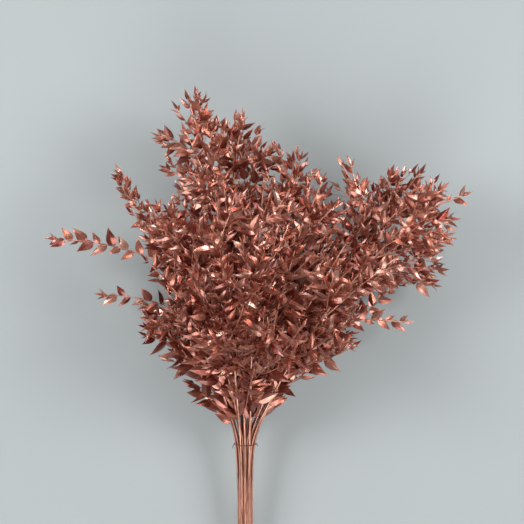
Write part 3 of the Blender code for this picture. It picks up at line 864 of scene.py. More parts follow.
@dataclass(frozen=True)
class LeafRule:
    """Where the leaves grow, and how much room each one needs.

    Near the tie they are longer by low_extra, which dies away over low_reach from low_y up, and
    towards the tip of their wood they shorten to tip_share. The solids hold every third of them,
    as an arched blade with a ridge, or as a kite where it is short. Between those come the filling
    leaves, fuller and closer to each other, the collar of large leaves over the tie, and two small
    leaves by each tip. One that has no room is drawn again a little shorter, and after
    in_plane_tries on another side of its wood. Its place at the share tested_at of its length
    decides whether it is within the outline and out of the bare places.
    """

    length: float = 22 * MM
    low_extra: float = 15 * MM
    low_y: float = 50 * MM
    low_reach: float = 75 * MM
    tip_share: float = 0.66
    step: float = 9.8 * MM
    first: float = 9 * MM
    tip_gap: float = 3 * MM
    outer_by_chance_every: int = 4
    lean: float = 58
    lean_less_at_tip: float = 22
    lean_spread: float = 9
    lean_change: float = 8
    length_spread: tuple[float, float] = (0.85, 1.12)
    end_length: float = 14 * MM
    end_root: float = 2.5 * MM
    root_depth: float = 0.35
    flap: float = 0.24
    plane_tilts: dict[Order, float] = field(default_factory=lambda: {
        Order.STEM: 0.5, Order.SHOOT: 0.5, Order.SPRAY: 0.2, Order.TWIG: 0.3})
    width: float = 0.46
    arch: float = 0.05
    ridge: float = 0.055
    ridge_least: float = 1.1 * MM
    ridge_place: float = 0.75
    kite_below: float = 24 * MM
    clearance: float = 0.45 * MM
    floor_clearance: float = 0.2 * MM
    shorter: float = 0.96
    in_plane_tries: int = 3
    tested_at: float = 0.7
    solids_hold_every: int = 3
    filling_twist: float = 0.22
    filling_turn: float = 1.0
    filling_clearance: float = 0.1 * MM
    fuller: float = 1.2
    larger_at_tip: float = 0.3
    first_on_spray: float = 16 * MM
    collar_from: float = 37 * MM
    collar_step: float = 8 * MM
    collar_length: tuple[float, float] = (24 * MM, 34 * MM)
    collar_lean: tuple[float, float] = (24, 46)
    bud_leaves: tuple[tuple[float, float], ...] = ((7 * MM, 13 * MM), (4 * MM, 11 * MM))
    bud_lean: tuple[float, float] = (26, 44)
    bud_twist: float = 0.6
    larger_outer_bud: float = 0.35

    def spots(self, wood: Wood, first: float) -> Iterator[LeafSpot]:
        """Every leaf of a piece of wood: alternate, smaller towards the tip, and one at the tip.

        Args:
            wood: what they grow from.
            first: how far along it the first one is.

        Yields:
            The leaves' spots, the one at the tip last.
        """
        whole = wood.length()
        for k in range(int((whole - first - self.tip_gap) / self.step)):
            distance = first + k * self.step
            share = distance / whole
            rng = random.Random(f"{wood.name} leaf {k}")
            height = max(0, wood.at(distance)[0].y - self.low_y)
            length = self.length + self.low_extra * math.exp(-height / self.low_reach)
            length *= (1 + (self.tip_share - 1) * share ** 2) * rng.uniform(*self.length_spread)
            lean = self.lean - self.lean_less_at_tip * share
            lean += rng.uniform(-self.lean_spread, self.lean_spread)
            form = LeafForm.BROAD if wood.outer and k % self.outer_by_chance_every else None
            yield LeafSpot(wood, f"{wood.name} leaf {k}", distance, (-1) ** k, length, lean,
                           form=form)
        end = whole - self.end_root
        yield LeafSpot(wood, f"{wood.name} end leaf", end, 0, self.end_length + self.end_root, 0,
                       form=LeafForm.BUD)

    def filling_spots(self, wood: Wood, first: float) -> Iterator[LeafSpot]:
        """The leaves of the finer pieces alone: those in between, and two small ones by the tip.

        Args:
            wood: what they grow from.
            first: how far along it the first leaf is.

        Yields:
            The leaves' spots.
        """
        in_solid = wood.order in (Order.STEM, Order.SHOOT)
        *along, end = self.spots(wood, first)
        if not in_solid:
            yield end
        stands_out = wood.outer or wood.order is Order.STEM
        for k, spot in enumerate(along):
            if not in_solid or k % self.solids_hold_every:
                share = spot.distance / wood.length()
                larger = self.fuller * (1 + self.larger_at_tip * stands_out * share ** 2)
                yield replace(spot, twist=self.filling_twist, turn=self.filling_turn,
                              length=spot.length * larger, inside=not in_solid, filling=True)
        for k, (back, size) in enumerate(self.bud_leaves):
            rng = random.Random(f"{wood.name} bud {k}")
            size *= 1 + self.larger_outer_bud * stands_out
            yield LeafSpot(wood, f"{wood.name} bud {k}", wood.length() - back, (-1) ** k,
                           size * rng.uniform(0.85, 1.2), rng.uniform(*self.bud_lean),
                           self.bud_twist, form=None if stands_out else LeafForm.BUD)

    def collar_spots(self, stem: Wood, first: float) -> Iterator[LeafSpot]:
        """The large leaves on the lowest part of a stem, just over the tie.

        Args:
            stem: the stem.
            first: how far along it the others begin.

        Yields:
            The leaves' spots.
        """
        start = stem.distance_at(self.collar_from)
        for k in range(int(max(0.0, first - start) / self.collar_step)):
            rng = random.Random(f"{stem.name} collar {k}")
            length = rng.uniform(*self.collar_length)
            yield LeafSpot(stem, f"{stem.name} collar {k}", start + k * self.collar_step,
                           (-1) ** k, length, rng.uniform(*self.collar_lean),
                           self.filling_twist, self.filling_turn)

    def place(self, spot: LeafSpot, rng: random.Random, turn: float) -> Matrix:
        """The leaf's matrix: it leans out from its wood in the plane of the spray, and is twisted.

        Args:
            spot: where it grows.
            rng: its own random numbers.
            turn: how far round the wood it is turned out of the spray's plane.

        Returns:
            A matrix that puts the leaf's base at the wood, its X along the leaf and its Z up.
        """
        base, along, radius = spot.wood.at(spot.distance)
        spray = random.Random(f"{spot.wood.name} plane")
        tilt = spray.gauss(0, self.plane_tilts[spot.wood.order])
        over = UP - along * along.z
        if over.length < 0.2 and spot.wood.order is Order.TWIG:
            over = along.orthogonal()
        face = Matrix.Rotation(tilt + turn, 3, along) @ over.normalized()
        angle = math.radians(spot.lean + rng.uniform(-self.lean_change, self.lean_change))
        out = Matrix.Rotation(spot.side * angle, 3, face) @ along
        if spot.side:
            flap = Matrix.Rotation(rng.gauss(0, self.flap), 3, out.cross(face))
            out = (flap @ out).normalized()
        twist = Matrix.Rotation(rng.gauss(0, spot.twist), 3, out)
        normal = twist @ (face - out * face.dot(out)).normalized()
        axes = Matrix((out, normal.cross(out), normal)).transposed()
        root = base - out * self.root_depth * radius if spot.side else base
        return Matrix.Translation(root) @ axes.to_4x4()

    def blade(self, length: float, grown: float = 0.0) -> bmesh.types.BMesh:
        """The leaf as the solids have it: an arched blade along +X with a ridge on its top.

        Args:
            length: its length.
            grown: how much larger it is on all sides.

        Returns:
            The closed blade.
        """
        ridge = max(self.ridge * length, self.ridge_least)
        ovate = [(0.30, 0.47 * self.width), (0.64, 0.36 * self.width)]
        outline = [(0.40, 0.48 * self.width)] if length < self.kite_below else ovate
        around = [(0, 0), *((t, -half) for t, half in outline), (1, 0)]
        around += [(t, half) for t, half in reversed(outline)]

        def arch_at(t: float) -> float:
            """The height of the arch at a share of the length."""
            return 4 * self.arch * length * t * (1 - t)

        bm = bmesh.new()
        rim = bmesh.ops.create_circle(bm, radius=1, segments=len(around))["verts"]
        for vert, (t, half) in zip(rim, around):
            side = half * length + math.copysign(grown, half) * (half != 0)
            vert.co = (t * length + grown * (t == 1), side, arch_at(t) - grown)
        bmesh.ops.contextual_create(bm, geom=bm.edges[:])
        upper = bmesh.ops.duplicate(bm, geom=bm.faces[:])["geom"]
        face = next(g for g in upper if isinstance(g, bmesh.types.BMFace))
        peak = bmesh.ops.poke(bm, faces=[face])["verts"][0]
        middle = self.ridge_place * sum(t for t, _ in outline) / len(outline)
        peak.co = (middle * length, 0, arch_at(middle) + ridge + grown)
        bmesh.ops.remove_doubles(bm, verts=bm.verts, dist=1e-7)
        bmesh.ops.triangulate(bm, faces=bm.faces)
        bmesh.ops.recalc_face_normals(bm, faces=bm.faces)
        return bm

    def grow(
        self, spot: LeafSpot, room: Room, tries: int, clearance: float
    ) -> GrownLeaf | None:
        """Grows a leaf where it touches nothing but its own wood.

        Where the plane of the spray has no room, it grows on another side of its wood.

        Args:
            spot: where it grows.
            room: the space taken so far, which it then takes its own from.
            tries: how many draws it gets.
            clearance: how far it keeps from everything else.

        Returns:
            The leaf, or None where there is no room.
        """
        rng = random.Random(spot.key)
        for attempt in range(tries):
            length = spot.length * self.shorter ** attempt
            turn = rng.uniform(-spot.turn, spot.turn) if attempt >= self.in_plane_tries else 0
            place = self.place(spot, rng, turn)
            test = self.blade(length, clearance)
            test.transform(place)
            fits = min(v.co.z for v in test.verts) > self.floor_clearance
            towards_tip = place @ Vector((self.tested_at * length, 0, 0))
            if spot.inside:
                fits = fits and in_outline(towards_tip)
            if spot.filling:
                fits = fits and not is_bare(towards_tip)
            if room.is_free(test, ignore=(spot.wood.name,)) and fits:
                leaf = self.blade(length)
                leaf.transform(place)
                room.add(leaf, spot.key)
                sway = Matrix.Translation(spot.wood.sway(spot.distance))
                return GrownLeaf(sway @ place, length, spot.key, spot.form)
        return None


@dataclass
class GrownStem:
    """A stem of the bunch with all that grew on it, the stem's own axis first in its wood."""

    plan: StemPlan
    wood: list[Wood] = field(default_factory=list)
    leaves: list[GrownLeaf] = field(default_factory=list)


class Ruscus:
    """The plant: it grows as its solids did, and then fills out.

    The lifts are how many mm higher or lower wood may end than planned, where it has no room.
    """

    lifts = (0, 7, -7, 14, -14, 21, -21, 28)
    aimed_lifts = (0, 6, -6, 12, -12, 18)
    spray_lifts = (0, 4, -4, 8, -8, 12, -12, 18, 24)
    shoot_tries = 24
    leaf_tries = 9
    filling_tries = 6

    def __init__(self) -> None:
        """Sets the rules out."""
        self.bundle = Bundle()
        self.shoots = ShootRule()
        self.twigs = TwigRule()
        self.leaf = LeafRule()
        self.room = Room()
        self.stems = [GrownStem(plan) for plan in STEMS]

    def first_to_fit(self, draws: Iterable[Wood], ignore: tuple[str, ...] = ()) -> Wood | None:
        """Finds wood with room, and takes the space.

        Args:
            draws: wood to choose from.
            ignore: the names of what it may touch.

        Returns:
            The first of the draws that touches nothing else, or None.
        """
        for wood in draws:
            if self.room.is_free(wood.solid(self.leaf.clearance), ignore):
                self.room.add(wood.solid(), wood.name)
                return wood
        return None

    def grow_wood(self) -> None:
        """Grows the wood that the solids have: the axes, the aimed shoots, and then the others."""
        places = self.bundle.shared_out(STEMS)
        for stem, place in zip(self.stems, places):
            draws = (self.bundle.axis(stem.plan, place, lift * MM) for lift in self.lifts)
            stem.wood.append(self.first_to_fit(draws))
        for stem in self.stems:
            axis, name = stem.wood[0], stem.plan.name
            for k, (height, tip) in enumerate(stem.plan.aimed):
                draws = (self.shoots.aimed(axis, f"{name} aimed {k}", height, tip, lift * MM)
                         for lift in self.aimed_lifts)
                self.keep(stem, self.first_to_fit(draws, ignore=(name,)))
        for stem in self.stems:
            axis, name = stem.wood[0], stem.plan.name
            for k in range(stem.plan.shoots):
                rng = random.Random(f"{name} shoot {k}")
                draws = (self.shoots.ruled(stem.plan, axis, k, attempt, rng)
                         for attempt in range(self.shoot_tries))
                inside = filter(self.shoots.stays_in_head, draws)
                self.keep(stem, self.first_to_fit(inside, ignore=(name,)))

    @staticmethod
    def keep(stem: GrownStem, wood: Wood | None) -> None:
        """Gives a stem its new wood, if there was room for it."""
        if wood:
            stem.wood.append(wood)

    def first_leaf(self, stem: GrownStem, wood: Wood) -> float:
        """How far along a piece of the stem's wood its leaves begin."""
        if wood.order is Order.STEM:
            return wood.distance_at(stem.plan.leafy_from * MM)
        return self.leaf.first

    def grow_first_leaves(self) -> None:
        """Grows the leaves that the solids have: every third one, and the last on each tip."""
        for stem in self.stems:
            for wood in stem.wood:
                *along, end = self.leaf.spots(wood, self.first_leaf(stem, wood))
                for spot in [end, *along[::self.leaf.solids_hold_every]]:
                    self.keep_leaf(stem, spot, self.leaf_tries, self.leaf.clearance)

    def keep_leaf(self, stem: GrownStem, spot: LeafSpot, tries: int, clearance: float) -> None:
        """Gives a stem a leaf at the spot, if there is room for it."""
        leaf = self.leaf.grow(spot, self.room, tries, clearance)
        if leaf:
            stem.leaves.append(leaf)

    def grow_front_sprays(self) -> None:
        """Grows the sprays that fan out over the front of the head."""
        stems = {stem.plan.name: stem for stem in self.stems}
        for k, (name, height, tip) in enumerate(FRONT_SPRAYS):
            stem = stems[name]
            draws = (self.shoots.aimed(stem.wood[0], f"{name} spray {k}", height, tip, lift * MM,
                                       Order.SPRAY) for lift in self.spray_lifts)
            spray = self.first_to_fit(draws, ignore=(name,))
            self.keep(stem, spray)
            if spray:
                for spot in self.leaf.filling_spots(spray, self.leaf.first_on_spray):
                    self.keep_leaf(stem, spot, self.filling_tries, self.leaf.filling_clearance)

    def grow_twigs(self) -> None:
        """Grows the short twigs of the finer pieces, on the stems and on their shoots."""
        for stem in self.stems:
            for parent in [w for w in stem.wood if w.order is not Order.SPRAY]:
                starts = self.twigs.starts(parent, self.first_leaf(stem, parent))
                for k, start in enumerate(starts):
                    draws = self.twigs.draws(parent, start, k)
                    inside = filter(self.twigs.stays_in_head, draws)
                    self.keep(stem, self.first_to_fit(inside, ignore=(parent.name,)))

    def fill_with_leaves(self) -> None:
        """Grows the leaves in between, and those of the twigs."""
        for stem in self.stems:
            axis = stem.wood[0]
            for spot in self.leaf.collar_spots(axis, self.first_leaf(stem, axis)):
                self.keep_leaf(stem, spot, self.leaf_tries, self.leaf.filling_clearance)
            for wood in [w for w in stem.wood if w.order is not Order.SPRAY]:
                for spot in self.leaf.filling_spots(wood, self.first_leaf(stem, wood)):
                    self.keep_leaf(stem, spot, self.filling_tries, self.leaf.filling_clearance)

    def grow(self) -> Vector:
        """Grows the bunch.

        Returns:
            The step from the bunch's own place, round its tie, to its place in the frame.
        """
        self.grow_wood()
        self.grow_first_leaves()
        low, high = self.room.box()
        shift = Vector(CAD_BOX[0]) - low
        miss = (high + shift - Vector(CAD_BOX[1])).length
        log.info("grown as its solids: %d leaves, %.3f mm off the frame's box",
                 sum(len(stem.leaves) for stem in self.stems), miss / MM)
        self.grow_front_sprays()
        self.grow_twigs()
        self.fill_with_leaves()
        log.info("filled out: %d pieces of wood, %d leaves",
                 sum(len(stem.wood) for stem in self.stems),
                 sum(len(stem.leaves) for stem in self.stems))
        return shift


# Finishes


def linear(hex_colour: str) -> tuple[float, float, float, float]:
    """Turns an sRGB hex colour to the linear one that shaders take, with full alpha."""
    shares = [int(hex_colour[k:k + 2], 16) / 255 for k in (1, 3, 5)]
    made = [c / 12.92 if c <= 0.04045 else ((c + 0.055) / 1.055) ** 2.4 for c in shares]
    return (*made, 1.0)


def add_node(
    tree: bpy.types.NodeTree, kind: str, settings: dict[str | int, object],
    links: dict[str | int, bpy.types.NodeSocket] | None = None,
) -> bpy.types.Node:
    """Adds a node with its settings and links.

    Args:
        tree: where it goes.
        kind: Blender's name for the node.
        settings: its values, by the name or number of an input, or else by that of a property.
        links: the output that feeds each linked input.

    Returns:
        The node.
    """
    node = tree.nodes.new(kind)
    for name, value in settings.items():
        if isinstance(name, int) or name in node.inputs:
            node.inputs[name].default_value = value
        else:
            setattr(node, name, value)
    for name, output in (links or {}).items():
        tree.links.new(output, node.inputs[name])
    return node


def mapped(
    tree: bpy.types.NodeTree, value: bpy.types.NodeSocket, span: tuple[float, float],
    onto: tuple[float, float] = (0.0, 1.0),
) -> bpy.types.NodeSocket:
    """Maps a value from one span onto another and holds it there.

    Args:
        tree: where the node goes.
        value: the output with the value.
        span: the span that it is mapped from.
        onto: the span that it is mapped onto.

    Returns:
        The output with the mapped value.
    """
    return add_node(tree, "ShaderNodeMapRange", {
        "From Min": span[0], "From Max": span[1], "To Min": onto[0], "To Max": onto[1],
    }, {"Value": value}).outputs["Result"]


def blended(
    tree: bpy.types.NodeTree, share: bpy.types.NodeSocket, *colours: str | bpy.types.NodeSocket
) -> bpy.types.NodeSocket:
    """Blends a share of the second colour into the first.

    Args:
        tree: where the node goes.
        share: the output with the share.
        colours: the two colours, each a hex colour or an output.

    Returns:
        The output with the blend.
    """
    settings, links = {"data_type": "RGBA"}, {0: share}
    for k, colour in enumerate(colours, start=6):
        if isinstance(colour, str):
            settings[k] = linear(colour)
        else:
            links[k] = colour
    return add_node(tree, "ShaderNodeMix", settings, links).outputs[2]


def computed(
    tree: bpy.types.NodeTree, operation: str, *values: float | bpy.types.NodeSocket
) -> bpy.types.NodeSocket:
    """Works out a number from others.

    Args:
        tree: where the node goes.
        operation: Blender's name for what it does.
        values: the others, each a plain number or an output.

    Returns:
        The output with the number.
    """
    settings, links = {"operation": operation}, {}
    for k, value in enumerate(values):
        (settings if isinstance(value, (int, float)) else links)[k] = value
    return add_node(tree, "ShaderNodeMath", settings, links).outputs["Value"]


def cloudy(
    tree: bpy.types.NodeTree, vector: bpy.types.NodeSocket, scale: float = 1.0
) -> bpy.types.NodeSocket:
    """Soft noise with this many clouds to a unit of the vector."""
    return add_node(tree, "ShaderNodeTexNoise", {"Scale": scale, "Detail": 2.0},
                    {"Vector": vector}).outputs["Fac"]


def bumpy(
    tree: bpy.types.NodeTree, shader: bpy.types.Node, height: bpy.types.NodeSocket,
    strength: float, depth: float,
) -> None:
    """Gives a shader the relief of a height.

    Args:
        tree: where the node goes.
        shader: the shader.
        height: the output with the height.
        strength: how much of the relief shows, from 0 to 1.
        depth: how deep one unit of the height is.
    """
    bump = add_node(tree, "ShaderNodeBump", {"Strength": strength, "Distance": depth},
                    {"Height": height})
    tree.links.new(bump.outputs["Normal"], shader.inputs["Normal"])


def new_material(name: str) -> tuple[bpy.types.Material, bpy.types.NodeTree, bpy.types.Node]:
    """A material with nothing but a Principled shader: the material, its tree and the shader."""
    made = bpy.data.materials.new(name)
    made.use_nodes = True
    tree = made.node_tree
    return made, tree, tree.nodes["Principled BSDF"]


@dataclass(frozen=True)
class CopperLeafPaint:
    """Copper spray paint on dried leaves: aluminium and copper flake in a thin red-brown lacquer.

    The flake gives a satin, metallic glint on every face that turns to the light. The coat is thin,
    so that it is browner in thin patches, along the rims and on some leaves more than others, and
    the leaf's parallel veins show through it.
    """

    full_coat: str = "#CC7E67"
    rosy_coat: str = "#D9A28F"
    thin_coat: str = "#7E2D1C"
    metallic: float = 0.8
    roughness: tuple[float, float] = (0.23, 0.37)
    lacquer: float = 0.45
    lacquer_index: float = 1.9
    lacquer_roughness: float = 0.18
    patches: float = 1.1
    wrinkles: float = 5.0
    veins: int = 9
    vein_height: float = 0.05 * MM
    midrib_width: float = 0.14
    midrib_rise: float = 2.5

    def material(self) -> bpy.types.Material:
        """Builds the material."""
        made, tree, shader = new_material("copper_paint_on_leaf")
        grain = add_node(tree, "ShaderNodeAttribute", {"attribute_name": "grain"})
        grain = grain.outputs["Vector"]
        tone = add_node(tree, "ShaderNodeAttribute", {"attribute_name": "tone"}).outputs["Fac"]
        across = add_node(tree, "ShaderNodeSeparateXYZ", {}, {"Vector": grain}).outputs["X"]
        from_rib = computed(tree, "ABSOLUTE", across)
        patches = cloudy(tree, grain, self.patches)

        # From leaf to leaf the coat is thin, full or rosy, and in patches it is thinner
        coat = blended(tree, mapped(tree, tone, (0.0, 0.7)), self.thin_coat, self.full_coat)
        leaf_coat = blended(tree, mapped(tree, tone, (0.75, 1.0)), coat, self.rosy_coat)
        darker = mapped(tree, patches, (0.45, 0.70), (0.0, 0.5))
        patchy = blended(tree, darker, leaf_coat, self.thin_coat)
        rim = mapped(tree, from_rib, (0.80, 1.0), (0.0, 0.3))
        colour = blended(tree, rim, patchy, self.thin_coat)
        tree.links.new(colour, shader.inputs["Base Color"])

        gloss = mapped(tree, patches, (0.35, 0.65), self.roughness)
        tree.links.new(gloss, shader.inputs["Roughness"])
        shader.inputs["Metallic"].default_value = self.metallic
        shader.inputs["Coat Weight"].default_value = self.lacquer
        shader.inputs["Coat IOR"].default_value = self.lacquer_index
        shader.inputs["Coat Roughness"].default_value = self.lacquer_roughness

        # The veins run from end to end and close up towards both, as the leaf's width does
        veins = computed(tree, "COSINE", computed(tree, "MULTIPLY", across, self.veins * math.pi))
        midrib = mapped(tree, from_rib, (0.0, self.midrib_width), (self.midrib_rise, 0.0))
        relief = computed(tree, "ADD", veins, midrib)
        wrinkles = computed(tree, "MULTIPLY_ADD", patches, self.wrinkles, relief)
        bumpy(tree, shader, wrinkles, 0.6, self.vein_height)
        return made


@dataclass(frozen=True)
class CopperWoodPaint:
    """The same paint on dried stems: paler and duller, because the ribbed bark takes more of it.

    The bark's fine ribs run along the stem, about 0.8 mm apart, with dark lines between them: paint
    that is thin there, and painted shade in the grooves. The sides that face into the bundle are
    painted dark as their shade.
    """

    coat: str = "#FFBBA1"
    darker: str = "#662C1C"
    painted_shade_colour: str = "#591206"
    painted_shade_share: float = 0.88
    metallic: float = 0.6
    roughness: float = 0.34
    rib_spacing: float = 0.8 * MM
    rib_length: float = 45 * MM
    rib_height: float = 0.12 * MM
    bare_width: float = 1.4 * MM
    bare_length: float = 16 * MM

    def material(self) -> bpy.types.Material:
        """Builds the material."""
        made, tree, shader = new_material("copper_paint_on_bark")
        grain = add_node(tree, "ShaderNodeAttribute", {"attribute_name": "grain"})
        tone = add_node(tree, "ShaderNodeAttribute", {"attribute_name": "tone"}).outputs["Fac"]

        def streaks(width: float, length: float) -> bpy.types.NodeSocket:
            """Noise drawn out along the wood."""
            drawn = add_node(tree, "ShaderNodeMapping", {
                "Scale": (1 / width, 1 / width, 1 / length),
            }, {"Vector": grain.outputs["Vector"]})
            return cloudy(tree, drawn.outputs["Vector"])

        ribs = streaks(self.rib_spacing, self.rib_length)
        # Painted shade: where the ribs' relief is low, in the grooves, the bark is painted darker,
        # along with paint that is thin there
        between = mapped(tree, ribs, (0.37, 0.52), (1.0, 0.0))
        colour = blended(tree, between, self.coat, self.darker)
        bare = mapped(tree, streaks(self.bare_width, self.bare_length), (0.54, 0.68), (0.0, 0.6))
        mottled = blended(tree, bare, colour, self.darker)
        # Painted shade: the sides that face into the bundle, darkest round the tie, take the dark
        # shade colour
        painted_shade_share = computed(tree, "MULTIPLY", tone, self.painted_shade_share)
        shaded = blended(tree, painted_shade_share, mottled, self.painted_shade_colour)
        tree.links.new(shaded, shader.inputs["Base Color"])
        shader.inputs["Metallic"].default_value = self.metallic
        shader.inputs["Roughness"].default_value = self.roughness
        bumpy(tree, shader, ribs, 0.7, self.rib_height)
        return made


@dataclass(frozen=True)
class AnnealedCopperWire:
    """Soft annealed copper wire, drawn and then darkened in the air, with dull and bright spots."""

    tarnish: str = "#5A3024"
    bright: str = "#9A5B44"
    metallic: float = 0.95
    roughness: float = 0.45
    spots: float = 3 * MM

    def material(self) -> bpy.types.Material:
        """Builds the material."""
        made, tree, shader = new_material("annealed_copper_wire")
        where = add_node(tree, "ShaderNodeTexCoord", {}).outputs["Object"]
        colour = blended(tree, cloudy(tree, where, 1 / self.spots), self.tarnish, self.bright)
        tree.links.new(colour, shader.inputs["Base Color"])
        shader.inputs["Metallic"].default_value = self.metallic
        shader.inputs["Roughness"].default_value = self.roughness
        return made


@dataclass(frozen=True)
class BackdropPaint:
    """Matt emulsion on a studio board: pale grey with a little blue, and quite even."""

    colour: str = "#ADB3B4"
    roughness: float = 0.85
    gloss: float = 0.2
    clouds: float = 2.5

    def material(self) -> bpy.types.Material:
        """Builds the material."""
        made, tree, shader = new_material("backdrop_paint")
        where = add_node(tree, "ShaderNodeTexCoord", {}).outputs["Object"]
        even = mapped(tree, cloudy(tree, where, self.clouds), (0.3, 0.7), (0.97, 1.0))
        colour = add_node(tree, "ShaderNodeHueSaturation", {"Color": linear(self.colour)},
                          {"Value": even})
        tree.links.new(colour.outputs["Color"], shader.inputs["Base Color"])
        shader.inputs["Roughness"].default_value = self.roughness
        shader.inputs["Specular IOR Level"].default_value = self.gloss
        return made


# Pieces


def new_piece(
    name: str, bm: bmesh.types.BMesh, materials: list[bpy.types.Material], shift: Vector
) -> bpy.types.Object:
    """Makes an object of a finished shape, which is used up.

    Args:
        name: the object's name.
        bm: its shape, round the middle of the tie.
        materials: its materials, in the order of its faces' material numbers.
        shift: the step to its place in the frame.

    Returns:
        The object, at the origin with its place in its mesh.
    """
    mesh = bpy.data.meshes.new(name)
    bm.to_mesh(mesh)
    bm.free()
    mesh.transform(Matrix.Translation(shift))
    for made in materials:
        mesh.materials.append(made)
    piece = bpy.data.objects.new(name, mesh)
    bpy.context.scene.collection.objects.link(piece)
    return piece


class LeafCutter:
    """Cuts each leaf from one closed sheet, with the fold, roll and twist that it dried with.

    Shares of its length: full_at, where it is widest, pivot, where it isn't twisted, and droop,
    how much of its arch its tip hangs down by. Its rim waves by ripple, a share of its half width.
    """

    steps = 8
    strips = 4
    thickness = 0.45 * MM
    full_at = 0.36
    base_power = 0.55
    tip_power = 1.38
    pivot = 0.2
    droop = 0.5
    ripple = 0.05
    ripple_pace = 6.3
    width_spread = (0.9, 1.08)
    least_roll = 1.0
    forms = (LeafForm.OPEN,) * 7 + (LeafForm.FOLDED,) * 8 + (LeafForm.CURLED, LeafForm.NARROW)

    def __init__(self) -> None:
        """Makes the sheet: two grids that share their rim."""
        bm = bmesh.new()
        along = bm.verts.layers.float.new("along")
        across = bm.verts.layers.float.new("across")
        under = bm.verts.layers.float.new("under")
        bmesh.ops.create_grid(bm, x_segments=self.steps, y_segments=self.strips, size=1)
        for vert in bm.verts:
            t = (1 - math.cos(math.pi * (vert.co.x + 1) / 2)) / 2
            vert[along] = t
            vert[across] = vert.co.y if 0.001 < t < 0.999 else 0.0
        lower = bmesh.ops.duplicate(bm, geom=bm.verts[:] + bm.edges[:] + bm.faces[:])["geom"]
        for vert in (g for g in lower if isinstance(g, bmesh.types.BMVert)):
            vert[under] = 1.0
        bmesh.ops.reverse_faces(bm, faces=[g for g in lower if isinstance(g, bmesh.types.BMFace)])
        for vert in bm.verts:
            t, s = vert[along], vert[across]
            edge_gap = (1 - s * s) * t * (1 - t)
            vert.co = (t, s * t * (1 - t), -0.1 * vert[under] * edge_gap)
        bmesh.ops.remove_doubles(bm, verts=bm.verts, dist=1e-6)
        bmesh.ops.dissolve_degenerate(bm, dist=1e-6, edges=bm.edges)
        for face in bm.faces:
            face.smooth = True
            face.material_index = 1
        for edge in bm.edges:
            on_midrib = all(abs(v[across]) < 0.01 for v in edge.verts)
            edge.smooth = edge.calc_face_angle() < math.radians(90) and not on_midrib
        self.along = np.array([v[along] for v in bm.verts])
        self.across = np.array([v[across] for v in bm.verts])
        self.under = np.array([v[under] for v in bm.verts])
        for layer in (along, across, under):
            bm.verts.layers.float.remove(layer)
        self.sheet = bpy.data.meshes.new("leaf sheet")
        bm.to_mesh(self.sheet)
        bm.free()
        self.sheet.attributes.new("grain", "FLOAT_VECTOR", "POINT")
        self.sheet.attributes.new("tone", "FLOAT", "POINT")

    def outline(self) -> np.ndarray:
        """The half width along the leaf, 1 where it is widest: ovate, and drawn out to the tip."""
        base = (self.along / self.full_at) ** self.base_power
        tip = ((1 - self.along) / (1 - self.full_at)) ** self.tip_power
        return base * tip

    def cut(self, leaf: GrownLeaf) -> bpy.types.Mesh:
        """Shapes the sheet into a leaf, in its place.

        Args:
            leaf: the leaf that grew.

        Returns:
            The sheet, which holds this leaf until the next one is cut.
        """
        rng = random.Random(f"{leaf.key} form")
        form = leaf.form or rng.choice(self.forms)
        width, folds, rolls, arches, sway, twist = form.value
        t, s = self.along, self.across
        half = width * leaf.length * self.outline() * rng.uniform(*self.width_spread)
        fold = math.radians(rng.uniform(*folds))
        roll = math.radians(max(self.least_roll, rng.uniform(*rolls)))
        arch = rng.uniform(*arches) * leaf.length
        bent = roll * s
        y = half * np.sin(bent) / roll * math.cos(fold)
        z = -half * (np.abs(s) * math.sin(fold) + (1 - np.cos(bent)) / roll)
        z += self.ripple * half * s * s * np.sin(self.ripple_pace * (t + rng.random()))
        z -= self.under * self.thickness * (1 - s * s) * np.sqrt(t * (1 - t)) * 2
        turn = math.radians(rng.gauss(0, twist)) * (t - self.pivot)
        y, z = y * np.cos(turn) - z * np.sin(turn), y * np.sin(turn) + z * np.cos(turn)
        y = y + rng.gauss(0, sway) * leaf.length * t * t
        z = z + 4 * arch * t * (1 - t) - self.droop * arch * t * t
        co = np.stack([t * leaf.length, y, z], axis=1)
        place = np.array(leaf.place)
        co = co @ place[:3, :3].T + place[:3, 3]
        co[:, 2] = np.maximum(co[:, 2], (0.2 + 0.3 * (1 - self.under)) * MM)
        self.sheet.vertices.foreach_set("co", co.astype(np.float32).ravel())
        seed = np.full_like(t, rng.uniform(0, 90))
        grain = np.stack([s, 2.2 * t, seed], axis=1).astype(np.float32)
        self.sheet.attributes["grain"].data.foreach_set("vector", grain.ravel())
        tones = np.full_like(t, rng.random()).astype(np.float32)
        self.sheet.attributes["tone"].data.foreach_set("value", tones)
        return self.sheet


